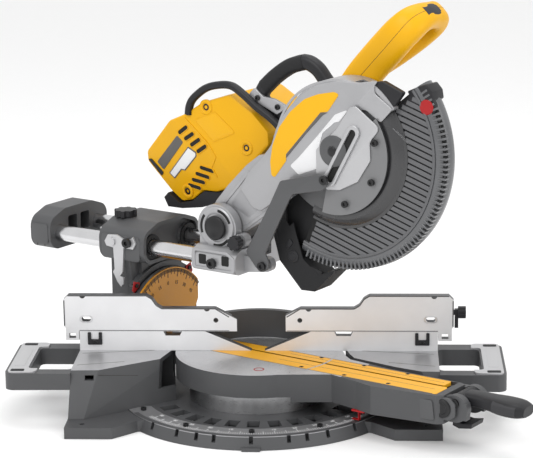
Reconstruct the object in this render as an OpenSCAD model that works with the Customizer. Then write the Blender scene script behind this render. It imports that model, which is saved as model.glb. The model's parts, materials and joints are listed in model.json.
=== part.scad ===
/* [Pose] */
// Mitre angle of the table, to the right of square
mitre_angle = 58; // [50:1:60]
// Angle by which the saw head is raised from level
head_lift = 47; // [46:1:47]

/* [Base] */
// Height of the working deck above the bench
deck_z = 101; // [100:1:102]
// Half the width of the deck
deck_half_w = 325; // [320:1:328]
// Half the width over both carry handles
handle_half_w = 442; // [436:1:446]
// Radius of the mitre scale
scale_r = 248; // [244:1:250]
// Height of the underside of the mitre scale
scale_z = 21; // [20:0.5:22]
// Distance of the bench bolts from the middle, to each side
bench_bolt_x = 300; // [290:1:305]
// Distance of the bench bolts from the middle, to the front and back
bench_bolt_y = 178; // [174:1:182]
// Radius of the bench bolt holes
bench_bolt_r = 4.5; // [4:0.25:5]

/* [Table] */
// Radius of the round part of the table
table_r = 150; // [148:0.5:150]
// Distance from the table axis to the end of the blade slot
slot_end = 388; // [380:1:390]
// Height of the bevel axis above the bench
bevel_z = 101; // [101:1:101]

/* [Fence] */
// Top of the fixed fence
fence_z = 137; // [134:1:138]
// Top of the sliding fences
fence_top = 204; // [198:1:204]
// Thickness of the fences
fence_t = 15; // [12:1:15]

/* [Rails] */
// Radius of the two rails
rail_r = 15; // [14:0.5:15.5]
// Distance of each rail from the blade plane
rail_n = 55; // [54:1:56]
// Height of the rails
rail_z = 280; // [279:1:281]

/* [Head] */
// Head pivot, behind the table axis
pivot_y = 50; // [49:1:51]
// Head pivot, above the bench
pivot_z = 335; // [334:1:336]
// Radius of the blade
blade_r = 152.5; // [150:0.5:153]
// Arbor axis forward of the head pivot, head level
arbor_f = 264; // [263:1:265]
// Arbor axis above the head pivot, head level
arbor_z = -105; // [-106:1:-104]
// Lower guard axis forward of the head pivot, head level
guard_f = 282; // [281:1:283]
// Lower guard axis above the head pivot, head level
guard_z = -68; // [-69:1:-67]
// Outer radius of the lower guard
guard_r = 211; // [208:1:212]

/* [Hidden] */
$fn = 48;
run = 0.1;               // running clearance on a radius
steel = [0.72, 0.73, 0.74];
silver = [0.78, 0.78, 0.79];
dark = [0.30, 0.30, 0.31];
black = [0.08, 0.08, 0.09];
yellow = [0.98, 0.72, 0.05];
red = [0.75, 0.08, 0.08];
table_top = deck_z - 0.2;
table_bottom = 59;
kerf_t = 6;
arm_end = 404;
lever_s = 432;
lever_z = 88;
rod_z = 54;
detents = [0, 15, 22.5, 31.6, 45];
rail_front = -14;
rail_back = -450;
cap_front = -414;
housing_front = -192;
housing_back = -296;
trunnion_front = -206;
trunnion_back = -214;
plate_r = 126;
knob_x = 322;
knob_z = 172;
ear_in = 34;
ear_out = 52;
guard_gap_r = 124.5;     // nothing of the head stands beyond this where the guard swings
guard_a0 = -168;         // ends of the lower guard round its own axis
guard_a1 = -8;
guard_wall_n = 31;       // inner face of the upper guard, from the blade plane
motor_near = -26;
motor_far = -196;
motor_f = 20;
motor_z = 146;
lug_s = 54;
lug_z = 280;
link_n = 56;

// frames -------------------------------------------------------------------
module at_mitre() rotate([0, 0, mitre_angle]) children();
module at_head() at_mitre() translate([0, pivot_y, pivot_z]) rotate([-head_lift, 0, 0]) children();

// an outline of (forward, up) points, run sideways from n0 to n1, left positive
module profile(n0, n1) rotate([90, 0, -90]) translate([0, 0, n0]) linear_extrude(n1 - n0) children();

// an outline of (left, up) points, run along the arm from s0 back to s1 in front
module section(s0, s1) rotate([90, 0, 180]) translate([0, 0, -s1]) linear_extrude(s1 - s0) children();

// a disc across the arm at a forward and up place
module cross_disc(f, z, r, n0, n1, fn = 48) profile(n0, n1) translate([f, z]) circle(r, $fn = fn);

// a cap screw standing on a face, its head up
module screw(r, h, shank) {
    difference() {
        cylinder(r = r, h = h, $fn = 24);
        translate([0, 0, h * 0.45]) cylinder(r = r * 0.5, h = h, $fn = 6);
    }
    translate([0, 0, -shank]) cylinder(r = r * 0.5, h = shank + 0.5, $fn = 24);
}
module screw_hole(r, shank) translate([0, 0, -shank - 0.5]) cylinder(r = r * 0.5 + run, h = shank + 1);

// the same screw across the arm, its head to the left
module cross_screw(f, z, n, r, h, shank) translate([-n, -f, z]) rotate([0, -90, 0]) screw(r, h, shank);
module cross_hole(f, z, n, r, shank) translate([-n, -f, z]) rotate([0, -90, 0]) screw_hole(r, shank);

module rounded(r) offset(r = r) offset(delta = -r) children();

// base -----------------------------------------------------------------------
module wing_top(inset) offset(delta = -inset)
    polygon([[-deck_half_w, -124], [-276, -122], [-203, -55], [-178, -56], [-140, -30], [-140, 8],
        [-deck_half_w, 60]]);
module wing_foot(inset) offset(delta = -inset)
    polygon([[-deck_half_w - 3, -156], [-300, -155], [-215, -75], [-182, -64], [-140, -40], [-140, 8],
        [-deck_half_w - 3, 64]]);
module wing_block(inset, top) hull() {
    translate([0, 0, top - 1]) linear_extrude(1) wing_top(inset);
    translate([0, 0, 20]) linear_extrude(1) wing_foot(inset);
}
module foot_outline() {
    polygon([[-329, -200], [-246, -200], [-205, -160], [-170, -150], [-170, -60], [-329, -60]]);
    polygon([[-329, -70], [-170, -70], [-170, 20], [-236, 60], [-262, 158],
        [-262, 200], [-329, 200]]);
}
module carry_handle() {
    translate([0, 0, 68]) linear_extrude(30) difference() {
        rounded(16) polygon([[-deck_half_w + 40, -133], [-handle_half_w, -137], [-handle_half_w, 52],
            [-deck_half_w + 40, 52]]);
        rounded(10) polygon([[-deck_half_w, -108], [-400, -108], [-400, 19], [-deck_half_w, 19]]);
        translate([-deck_half_w, -150]) square([80, 250]);
    }
}
module base_casting() color(dark) difference() {
    union() {
        for (side = [0, 1]) mirror([side, 0, 0]) {
            difference() {
                wing_block(0, deck_z);
                wing_block(8, deck_z - 8);
                translate([-300, -160, 84]) cube([16, 50, 9]);
            }
            linear_extrude(20) foot_outline();
            carry_handle();
        }
        intersection() {
            cylinder(r1 = scale_r + 8, r2 = scale_r, h = scale_z, $fn = 96);
            translate([-300, -300, 0]) cube([600, 340, scale_z]);
        }
        translate([-180, 0, 0]) cube([360, 100, scale_z]);
        translate([-16, -262, 0]) cube([32, 20, 6]);
        cylinder(r = 118, h = 56, $fn = 96);
    }
    // the table sinks between the two wings
    translate([0, 0, scale_z + 0.01]) difference() {
        cylinder(r = table_r + 3, h = deck_z, $fn = 96);
        cylinder(r = 118, h = 35, $fn = 96);
    }
    // the arm swings past the wings
    translate([0, 0, 47]) rotate([0, 0, 60]) along_arm() linear_extrude(deck_z)
        polygon([[90, -106], [116, -106], [154, -66], [173, -50], [262, -40], [450, -40], [450, 100],
            [90, 100]]);
    translate([0, 0, 47]) rotate([0, 0, -50]) along_arm() linear_extrude(deck_z)
        polygon([[90, 106], [114, 106], [154, 80], [192, 54], [246, 64], [283, 74], [450, 74], [450, -60],
            [90, -60]]);
    // hollow underneath
    difference() {
        translate([0, 0, -1]) cylinder(r = scale_r - 10, h = scale_z - 8, $fn = 96);
        translate([0, 0, -2]) cylinder(r = 150, h = 40);
    }
    translate([0, 0, -1]) cylinder(r = 140, h = 12, $fn = 96);
    translate([0, 0, 6]) difference() {
        cylinder(r = 108, h = 42, $fn = 96);
        cylinder(r = 30, h = 60);
    }
    translate([0, 0, -1]) cylinder(r = 8 + run, h = 70);
    // windows in the floor
    for (a = [-150:12:-30]) rotate([0, 0, a]) translate([162, -11, 4]) cube([32, 22, 30]);
    // detent notches in the rim
    for (d = detents, side = [-1, 1]) rotate([0, 0, -90 + side * d])
        translate([scale_r - 9, -3.5, 10]) cube([20, 7, 20]);
    // bench bolt holes
    for (x = [-1, 1], y = [-1, 1]) translate([x * bench_bolt_x, y * bench_bolt_y, -1])
        cylinder(r = bench_bolt_r, h = 30);
    for (a = [-152, -121, -90, -59, -28]) rotate([0, 0, a]) translate([226, 0, scale_z])
        screw_hole(5, 12);
    for (x = [-1, 1], d = [190, 300]) translate([x * d, 8, deck_z]) screw_hole(8, 6);
}
module grip_pads() color(silver) for (side = [0, 1]) mirror([side, 0, 0])
    translate([0, 0, 98]) linear_extrude(3) difference() {
        rounded(10) polygon([[-386, -131], [-handle_half_w + 5, -133], [-handle_half_w + 5, 48], [-386, 48]]);
        rounded(8) polygon([[-300, -111], [-403, -111], [-403, 22], [-300, 22]]);
    }
module mitre_scale() color(steel) translate([0, 0, scale_z]) difference() {
    cylinder(r = scale_r, h = 1.5, $fn = 96);
    translate([0, 0, -1]) cylinder(r = 206, h = 4, $fn = 96);
    translate([-300, -84, -1]) cube([600, 400, 4]);
    for (side = [0, 1]) mirror([side, 0, 0]) linear_extrude(6, center = true) hull()
        wing_foot(-0.5);
    for (d = detents, side = [-1, 1]) rotate([0, 0, -90 + side * d])
        translate([scale_r - 9, -3.5, -1]) cube([20, 7, 4]);
    for (a = [-152, -121, -90, -59, -28]) rotate([0, 0, a]) translate([226, 0, 1.5]) screw_hole(5, 3);
}
module scale_screws() color(black)
    for (a = [-152, -121, -90, -59, -28]) rotate([0, 0, a]) translate([226, 0, scale_z + 1.5])
        screw(5, 5, 12);
module bearing_ring() color(steel) translate([0, 0, scale_z + 0.2]) difference() {
    cylinder(r = 126, h = table_bottom - 0.4 - scale_z, $fn = 96);
    translate([0, 0, -1]) cylinder(r = 118 + run, h = 60, $fn = 96);
}
module turntable_bolt() color(steel) {
    translate([0, 0, 12]) cylinder(r = 8, h = 70);
    translate([0, 0, 82]) cylinder(r = 16, h = 5, $fn = 6);
}

// fence ----------------------------------------------------------------------
module fixed_fence() color(silver) difference() {
    union() {
        for (side = [0, 1]) mirror([side, 0, 0]) translate([0, fence_t, 0]) rotate([90, 0, 0])
            linear_extrude(fence_t) polygon([[-deck_half_w, deck_z], [-deck_half_w, fence_z],
                [-172, fence_z], [-168, fence_z - 8], [-142, fence_z - 8], [-138, fence_z],
                [-96, fence_z], [-12, deck_z]]);
        translate([0, -27, deck_z + 2]) intersection() {
            difference() {
                cylinder(r = 120, h = 52, $fn = 96);
                translate([0, 0, -1]) cylinder(r = 108, h = 60, $fn = 96);
            }
            translate([-150, 36, 0]) cube([300, 120, 52]);
        }
    }
    for (x = [-1, 1], d = [190, 300]) translate([x * d, 8, fence_z - 10]) {
        cylinder(r = 7.5, h = 20, $fn = 24);
        screw_hole(8, 60);
    }
}
module fence_bolts() color(black) for (x = [-1, 1], d = [190, 300])
    translate([x * d, 8, fence_z - 10]) difference() {
        union() {
            cylinder(r = 6.5, h = 8, $fn = 24);
            translate([0, 0, -31]) cylinder(r = 4, h = 32, $fn = 24);
        }
        translate([0, 0, 4]) cylinder(r = 3, h = 8, $fn = 6);
    }
module fence_blank() difference() {
    translate([0, fence_t, 0]) rotate([90, 0, 0]) linear_extrude(fence_t) difference() {
        polygon([[-353, 146], [-353, fence_top - 8], [-345, fence_top], [-202, fence_top],
            [-192, fence_top - 6], [-184, fence_top - 18], [-174, fence_top - 24],
            [-76, fence_top - 24], [-38, 160], [-38, fence_z + 0.3], [-326, fence_z + 0.3],
            [-326, 120], [-350, 120], [-350, 143]]);
        for (x = [-318, -92]) translate([x, x < -200 ? fence_top : fence_top - 24]) circle(5.5);
        hull() for (x = [-316, -308]) translate([x, 160]) circle(4.5, $fn = 32);
        translate([-76, 158]) circle(4.5);
        translate([-344, 124]) square([12, 9]);
    }
    translate([-300, 6, fence_z - 2]) cube([270, 20, 30]);
}
module upper_fence_left() color(silver) difference() {
    fence_blank();
    translate([-knob_x, 8.8, knob_z]) rotate([-90, 0, 0]) cylinder(r = 5 + run, h = 10);
}
module upper_fence_right() color(silver) difference() {
    mirror([1, 0, 0]) fence_blank();
    translate([30, -1, fence_z]) cube([20.5, fence_t + 2, 70]);
    translate([343.8, 7.5, 172]) rotate([0, 90, 0]) cylinder(r = 5 + run, h = 12);
}
module star_knob(r, h) {
    difference() {
        cylinder(r = r, h = h);
        for (a = [0:45:315]) rotate([0, 0, a]) translate([r * 1.12, 0, -1]) cylinder(r = r * 0.28, h = h + 2);
    }
}
module fence_knob_left() color(black) translate([-knob_x, 9, knob_z]) rotate([-90, 0, 0]) {
    cylinder(r = 5, h = 14);
    translate([0, 0, 12]) star_knob(14, 14);
}
module fence_knob_right() color(black) translate([344, 7.5, 172]) rotate([0, 90, 0]) {
    cylinder(r = 5, h = 20);
    translate([0, 0, 17]) star_knob(11, 14);
    translate([-6, -5, 11]) cube([34, 10, 6.5]);
}

// table ----------------------------------------------------------------------
module arm_plan(inset) offset(delta = -inset) union() {
    polygon([[0, 0], [0, 110], [112, 100], [150, 74], [190, 48], [246, 58], [283, 68], [arm_end, 53],
        [arm_end + 10, 44], [arm_end + 10, -28], [arm_end, -33], [260, -35], [170, -45], [150, -60],
        [112, -100], [0, -110]]);
}
// a plan drawn with forward along x and left along y
module along_arm() rotate([0, 0, -90]) mirror([0, 1, 0]) children();
module slot_line(w, s0, s1, z0, z1) along_arm() translate([s0, -w / 2, z0]) cube([s1 - s0, w, z1 - z0]);
module turntable() color(dark) at_mitre() difference() {
    union() {
        translate([0, 0, table_bottom]) cylinder(r = table_r, h = table_top - table_bottom, $fn = 96);
        translate([0, 0, 50]) along_arm() linear_extrude(table_top - 50) intersection() {
            arm_plan(0);
            translate([130, -200]) square(400);
        }
        translate([0, 0, table_bottom]) along_arm() linear_extrude(table_top - table_bottom)
            arm_plan(0);
        // cheeks for the lock lever
        for (n = [24, -38]) profile(n, n + 14) difference() {
            union() {
                translate([lever_s, 78]) circle(24);
                translate([lever_s - 34, 54]) square([34, 44]);
                translate([lever_s, 60]) square([22, 30]);
            }
            translate([lever_s, lever_z]) circle(5 + run);
        }
        // neck and trunnion behind the table
        translate([-48, 120, 62]) cube([96, -trunnion_back - 120, table_top - 62]);
        section(trunnion_back, trunnion_front) intersection() {
            translate([0, bevel_z]) circle(plate_r, $fn = 96);
            polygon([[-58, 62], [58, 62], [58, deck_z + 1], [90, deck_z + 1], [90, 262], [-90, 262],
                [-90, deck_z + 1], [-58, deck_z + 1]]);
        }
    }
    // hollow underneath
    translate([0, 0, 40]) difference() {
        cylinder(r = table_r - 8, h = 50, $fn = 96);
        cylinder(r = 36, h = 60);
    }
    translate([0, 0, 40]) along_arm() linear_extrude(48) intersection() {
        arm_plan(8);
        translate([100, -200]) square([arm_end - 108, 400]);
    }
    translate([-40, 118, 50]) cube([80, 78, 42]);
    // slot for the blade and seats for the kerf plates
    slot_line(44, -80, slot_end + 2, 70, 120);
    along_arm() translate([-80, -31.2, table_top - kerf_t]) cube([slot_end + 92, 77.4, 20]);
    translate([0, 0, 20]) cylinder(r = 8 + run, h = 100);
    translate([0, 0, 81.9]) cylinder(r = 18, h = 40);
    // bevel bolt
    section(trunnion_back - 1, trunnion_front + 1) translate([0, bevel_z]) circle(10 + run);
    translate([0, 150, bevel_z]) rotate([-90, 0, 0]) cylinder(r = 20, h = 56.2);
    for (a = [-1, 1]) translate([a * 62, -trunnion_front, 128]) rotate([90, 0, 0]) screw_hole(5, 8);
    // kerf plate screws
    for (s = [120, 210, 300], n = [-27, 38]) translate([-n, -s, table_top - kerf_t]) screw_hole(4, 8);
    // passage for the lock rod
    translate([0, -arm_end - 20, rod_z]) rotate([-90, 0, 0]) cylinder(r = 4.5, h = 40);
}
module kerf_plates() color(yellow) at_mitre() difference() {
    for (side = [0, 1]) translate([0, 0, table_top - kerf_t + 0.1]) along_arm() linear_extrude(kerf_t - 0.1)
        rounded(6) polygon(side == 0
            ? [[-80, 46], [-80, 2.5], [slot_end, 2.5], [slot_end, -31], [slot_end + 11, -31],
               [slot_end + 11, 46]]
            : [[-80, -2.5], [-80, -31], [slot_end - 1, -31], [slot_end - 1, -2.5]]);
    // undercut that clears a tilted blade
    section(-90, slot_end) polygon([[-2.4, table_top], [2.4, table_top], [12, table_top - 8],
        [-12, table_top - 8]]);
    for (s = [120, 210, 300], n = [-27, 38]) translate([-n, -s, table_top - 2]) {
        cylinder(r = 4.3, h = 5, $fn = 24);
        screw_hole(4, 8);
    }
}
module table_screws() color(black) at_mitre() {
    for (s = [120, 210, 300], n = [-27, 38]) translate([-n, -s, table_top - 1.9]) screw(4, 1.6, 10);
    for (a = [-1, 1]) translate([a * 62, -trunnion_front - 3, 128]) rotate([90, 0, 0]) screw(5, 4, 9);
}
module mitre_pointer() color(red) at_mitre() translate([-62, -266, 0]) {
    translate([0, 0, 47]) cube([24, 26, 2.9]);
    translate([18, 22, 27]) cube([6, 2, 20.5]);
    translate([18, 22, 25]) cube([6, 14, 2]);
}
module mitre_lock_lever() color(black) at_mitre() difference() {
    union() {
        profile(-22, 22) union() {
            translate([lever_s, lever_z]) circle(15);
            polygon([[lever_s, lever_z + 14], [lever_s + 34, lever_z + 10], [lever_s + 60, lever_z + 6],
                [lever_s + 60, lever_z - 10], [lever_s + 30, lever_z - 14], [lever_s, lever_z - 14]]);
        }
        translate([0, -lever_s - 58, lever_z - 1]) rotate([90, 0, 0]) linear_extrude(62)
            rounded(9) square([48, 28], center = true);
    }
    cross_disc(lever_s, lever_z, 5 + run, -40, 40);
}
module mitre_lock_pin() color(steel) at_mitre() {
    cross_disc(lever_s, lever_z, 5, -38, 38);
    difference() {
        cross_disc(lever_s, lever_z, 8, 38.1, 42);
        cross_disc(lever_s, lever_z, 4, 40, 43, 6);
    }
}
module mitre_lock_rod() color(steel) at_mitre() translate([0, -arm_end - 6, rod_z])
    rotate([-90, 0, 0]) cylinder(r = 4, h = arm_end + 6 - 127);
module detent_latch() color(black) at_mitre() profile(-20, 20)
    polygon([[lever_s + 6, 47], [lever_s + 24, 50], [lever_s + 22, 42], [lever_s - 2, 38],
        [lever_s - 14, 42], [lever_s - 14, 49]]);

// bevel ----------------------------------------------------------------------
module bevel_scale() color(yellow) at_mitre() difference() {
    section(trunnion_front + 0.02, trunnion_front + 3) intersection() {
        translate([0, bevel_z]) circle(plate_r, $fn = 96);
        polygon([[90, 105], [90, 300], [-92, 300], [-92, 150], [-70, 112], [-64, 105]]);
    }
    for (a = [-1, 1]) translate([a * 62, -trunnion_front - 3, 128]) rotate([90, 0, 0]) screw_hole(5, 8);
    section(trunnion_front - 1, trunnion_front + 4) translate([0, bevel_z]) circle(21);
}
module rail_section(r) for (n = [-1, 1]) translate([n * rail_n, rail_z]) circle(r);
module housing_section(inset) offset(delta = -inset) rounded(24)
    polygon([[-84, 250], [84, 250], [84, 308], [40, 324], [-40, 324], [-84, 308]]);
module bevel_housing() color(dark) at_mitre() difference() {
    union() {
        section(housing_back, housing_front) housing_section(0);
        section(-292, -221) polygon([[-55, 120], [55, 120], [55, 262], [-55, 262]]);
        section(-292, -215) translate([0, bevel_z]) circle(58);
        section(-229, -216) difference() {
            intersection() {
                translate([0, bevel_z]) circle(137, $fn = 96);
                polygon([[0, bevel_z], [-150, bevel_z + 190], [150, bevel_z + 190]]);
            }
            translate([0, bevel_z]) circle(128, $fn = 96);
        }
        section(-240, -228) polygon([[-70, 190], [70, 190], [82, 262], [-82, 262]]);
    }
    section(housing_back - 1, housing_front + 1) rail_section(22 + run);
    section(housing_front - 12, housing_front + 1) housing_section(7);
    section(-300, -200) translate([0, bevel_z]) circle(10 + run);
    section(-300, -280) translate([0, bevel_z]) circle(30);
    section(-280, -245) polygon([[-40, 150], [40, 150], [40, 242], [-40, 242]]);
    translate([-30, 275, 310]) cylinder(r = 7 + run, h = 30);
    cross_hole(-226, 291, 84, 9, 10);
    for (a = [-1, 1]) translate([a * 80, 216, 210]) rotate([90, 0, 0]) screw_hole(4, 8);
}
module bevel_pointers() color(red) at_mitre() difference() {
    for (a = [-1, 1]) section(-216, -214.2) polygon([[a * 70, 214], [a * 86, 219], [a * 91, 202],
        [a * 87, 198], [a * 72, 206]]);
    for (a = [-1, 1]) translate([a * 80, 214.2, 210]) rotate([90, 0, 0]) screw_hole(4, 6);
}
module pointer_screws() color(black) at_mitre() for (a = [-1, 1])
    translate([a * 80, 214.2, 210]) rotate([90, 0, 0]) screw(4, 3, 6);
module bevel_bolt() color(steel) at_mitre() {
    translate([0, 186, bevel_z]) rotate([-90, 0, 0]) cylinder(r = 10, h = 124);
    translate([0, 186, bevel_z]) rotate([-90, 0, 0]) cylinder(r = 17, h = 19.8, $fn = 6);
}
module bevel_lock_lever() color(black) at_mitre() translate([0, 296, bevel_z]) rotate([-90, 0, 0])
    difference() {
        union() {
            cylinder(r = 24, h = 16);
            linear_extrude(14) hull() {
                circle(16, $fn = 32);
                translate([70, 20]) circle(9, $fn = 32);
            }
        }
        translate([0, 0, -1]) cylinder(r = 10 + run, h = 20);
    }
module rail_bushes() color(steel) at_mitre() for (s = [housing_front - 30, housing_back + 4])
    section(s, s + 24) difference() {
        rail_section(22);
        rail_section(rail_r + run);
    }
module rail_lock_knob() color(black) at_mitre() translate([-30, 275, 0]) {
    translate([0, 0, 312]) cylinder(r = 7, h = 14);
    translate([0, 0, 325]) star_knob(21, 12);
}
module slide_stop_hook() color(silver) at_mitre() difference() {
    union() {
        cross_disc(-263, 289, 8, 86, 91);
        profile(84.3, 88)
        polygon([[-214, 303], [-218, 299], [-234, 296], [-252, 303], [-272, 301], [-280, 288], [-276, 280],
            [-260, 278], [-258, 238], [-262, 232], [-252, 214], [-244, 206], [-238, 212], [-238, 224],
            [-246, 226], [-240, 234], [-236, 280], [-214, 280], [-208, 291]]);
    }
    cross_disc(-226, 291, 4.6, 80, 92);
}
module slide_stop_bolt() color(black) at_mitre() cross_screw(-226, 291, 88.3, 9, 6, 12);

// slide ----------------------------------------------------------------------
module rails() color(steel) at_mitre() difference() {
    section(rail_back, rail_front) rail_section(rail_r);
    section(rail_back - 1, rail_front + 1) rail_section(rail_r - 3);
}
module end_cap() color(dark) at_mitre() difference() {
    section(cap_front - 48, cap_front) housing_section(0);
    section(cap_front - 38, cap_front + 1) rail_section(rail_r + run);
    for (n = [-18, 18]) section(cap_front - 30, cap_front + 1)
        translate([n, 290]) rounded(4) square([26, 34], center = true);
}
module ear(n0, n1) profile(n0, n1) difference() {
    union() {
        translate([-pivot_y, pivot_z]) circle(42);
        polygon([[-88, 262], [-88, 322], [-60, pivot_z + 30], [-20, 340], [4, 300], [8, 262]]);
    }
    translate([-pivot_y, pivot_z]) circle(12 + run);
}
module pivot_bracket() color(silver) at_mitre() difference() {
    union() {
        ear(ear_in, ear_out);
        cross_disc(0, 316, 13, ear_in, ear_out);
        ear(-ear_out, -ear_in);
        section(-88, 8) rounded(12) polygon([[-78, 258], [78, 258], [78, 292], [60, 302.6], [-60, 302.6],
            [-78, 292]]);
        section(-88, -60) polygon([[-40, 258], [40, 258], [40, 310], [-40, 310]]);
        profile(36, 50) polygon([[-10, 258], [lug_s, lug_z - 13], [lug_s + 11, lug_z - 6],
            [lug_s + 11, lug_z + 7], [lug_s, lug_z + 13], [4, 290]]);
        cross_disc(lug_s, lug_z, 13, 36, 50);
    }
    // room for the arm hub
    cross_disc(-pivot_y, pivot_z, 41, -ear_in, ear_in);
    section(-60, 20) polygon([[-ear_in, 278], [ear_in, 278], [ear_in, 330], [-ear_in, 330]]);
    section(-100, rail_front + 0.2) rail_section(rail_r + run);
    cross_disc(lug_s, lug_z, 4 + run, 30, 60);
    // adjuster arcs round the pivot
    for (a = [110, 205]) profile(48, 60) translate([-pivot_y, pivot_z]) difference() {
        intersection() {
            circle(35);
            rotate(a) polygon([[0, 0], [60, -20], [60, 20]]);
        }
        circle(26);
    }
    cross_hole(-42, 276, 78, 9, 8);
    cross_disc(0, 316, 6 + run, 30, 60);
}
module pivot_bolt() color(steel) at_mitre() {
    cross_disc(-pivot_y, pivot_z, 12, -56, 55);
    cross_disc(-pivot_y, pivot_z, 18, 52.2, 56);
    cross_disc(-pivot_y, pivot_z, 17, -62, -52.2, 6);
}
module bracket_bolts() color(black) at_mitre() {
    cross_screw(-42, 276, 78.1, 9, 7, 7.8);
    cross_screw(lug_s, lug_z, link_n + 5.1, 8, 5, 24);
}
module head_spring() color(steel) at_mitre() for (n = [-30:6:24])
    profile(n, n + 4) translate([-pivot_y, pivot_z]) difference() {
        circle(17);
        circle(13);
    }
module lock_down_knob() color(black) at_mitre() {
    cross_disc(0, 316, 6, 35, 58);
    translate([-58, 0, 316]) rotate([0, -90, 0]) star_knob(13, 16);
}

// head -----------------------------------------------------------------------
module guard_side(r) intersection() {
    translate([arbor_f, arbor_z]) circle(r, $fn = 96);
    translate([arbor_f - 200, -92]) square([400, 300]);
}
module arm_side() polygon([[-14, 34], [20, 42], [60, 44], [150, 40], [170, -80], [150, -80], [136, -58],
    [90, -56], [30, -40], [0, -34]]);
module head_arm() color(silver) at_head() difference() {
    union() {
        // arm beam
        profile(-30, 30) arm_side();
        cross_disc(0, 0, 36, -33.5, 33.5);
        // upper guard: two walls and a rim
        profile(guard_wall_n, guard_wall_n + 3.5) guard_side(158);
        profile(-guard_wall_n - 3.5, -guard_wall_n) guard_side(158);
        profile(-guard_wall_n, guard_wall_n) difference() {
            guard_side(158);
            translate([arbor_f, arbor_z]) circle(154.5, $fn = 96);
        }
        cross_disc(guard_f, guard_z, 40, guard_wall_n, 38);
        // mount of the carrying handle
        profile(-34.4, -26) polygon([[190, 20], [236, 10], [214, 90], [190, 90]]);
    }
    // the lower guard swings up past the front and the top
    profile(-20, 45) translate([guard_f, guard_z]) difference() {
        polygon([[0, 0], [240, -90], [240, 300], [-260, 300], [-260, 270]]);
        circle(guard_gap_r);
    }
    // room for the blade
    cross_disc(arbor_f, arbor_z, 154.5, -12, 12, 96);
    // the beam is a shell
    profile(-24, 24) offset(delta = -6) arm_side();
    cross_disc(0, 0, 19, -40, 40);
    cross_disc(arbor_f, arbor_z, 34, -60, -20);
    cross_disc(guard_f, guard_z, 12 + run, 0, 60);
    cross_hole(150, -44, 34.5, 8, 8);
    cross_hole(110, 14, 30, 6, 8);
}
module dust_shroud() color(black) at_head() {
    difference() {
        profile(-26, 26) polygon([[78, -64], [134, -64], [112, -100], [84, -150], [88, -190], [122, -208],
            [60, -206], [40, -186], [44, -120]]);
        cross_disc(arbor_f, arbor_z, 156, -18, 18, 96);
        cross_disc(guard_f, guard_z, guard_r + 3, -24, 24, 96);
        profile(-36, 36) offset(delta = 0.3) guard_side(158);
    }
}
module arm_bolts() color(black) at_head() {
    cross_screw(150, -44, 34.6, 8, 5, 8);
    cross_screw(110, 14, 30.1, 6, 4, 8);
}
// the lower guard covers the lower half, turned round its own axis
module guard_sector(r, a0, a1) translate([guard_f, guard_z]) intersection() {
    circle(r, $fn = 96);
    polygon(concat([[0, 0]], [for (i = [0:8]) let (a = a0 + (a1 - a0) * i / 8)
        [r * 1.3 * cos(a), r * 1.3 * sin(a)]]));
}
module lower_guard() color(dark) at_head() difference() {
    union() {
        profile(-18, 18) translate([guard_f, guard_z]) circle(guard_r, $fn = 96);
        profile(17, 42) translate([guard_f, guard_z]) circle(130, $fn = 96);
        profile(-16, 16) translate([guard_f, guard_z]) polygon([[190, -40], [206, -38], [217, -31], [217, -20],
            [190, -20]]);
    }
    cross_disc(guard_f, guard_z, guard_r - 13, -15, 15, 96);
    cross_disc(guard_f, guard_z, 126, -20, 39, 96);
    cross_disc(guard_f, guard_z, 70, 20, 43, 96);
    // the upper half is open
    profile(-50, 50) translate([guard_f, guard_z]) polygon([[0, 0], [-300, -63.8], [-300, 300],
        [300, 300], [300, -42.2]]);
}
module guard_hub() color(silver) at_head() difference() {
    union() {
        profile(42, 46) guard_sector(108, guard_a0, guard_a1);
        cross_disc(guard_f, guard_z, 30, 38.3, 48);
        profile(44, 48) translate([guard_f, guard_z]) union() {
            circle(30);
            polygon([[-60, -60], [-50, 8], [62, 20], [76, -10], [60, -70]]);
        }
        profile(48, 52) difference() {
            hull() {
                translate([245, -94]) circle(13, $fn = 32);
                translate([338, -76]) circle(13, $fn = 32);
            }
            hull() {
                translate([245, -94]) circle(7.5, $fn = 32);
                translate([338, -76]) circle(7.5, $fn = 32);
            }
        }
        cross_disc(guard_f, guard_z, 12, 31, 44);
    }
    for (a = [-120, -75, -30]) cross_hole(guard_f + 90 * cos(a), guard_z + 90 * sin(a), 46, 6, 8);
}
module guard_hub_screws() color(black) at_head() for (a = [-120, -75, -30])
    cross_screw(guard_f + 90 * cos(a), guard_z + 90 * sin(a), 46.1, 6, 4, 3.9);
module guard_link() color(dark) at_mitre() difference() {
    profile(link_n, link_n + 5) union() {
        polygon([[lug_s - 10, lug_z + 2], [lug_s - 7, lug_z + 8], [92, 428], [104, 440], [190, 462],
            [190, 438], [118, 420], [68, lug_z + 10], [lug_s + 8, lug_z - 4]]);
        translate([186, 450]) circle(12);
        translate([lug_s, lug_z]) circle(12);
    }
    cross_disc(lug_s, lug_z, 4 + run, 40, 80);
    cross_disc(186, 450, 4 + run, 40, 80);
}
module link_bolts() color(black) at_mitre() cross_screw(186, 450, link_n + 5.1, 8, 5, 7);

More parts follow.
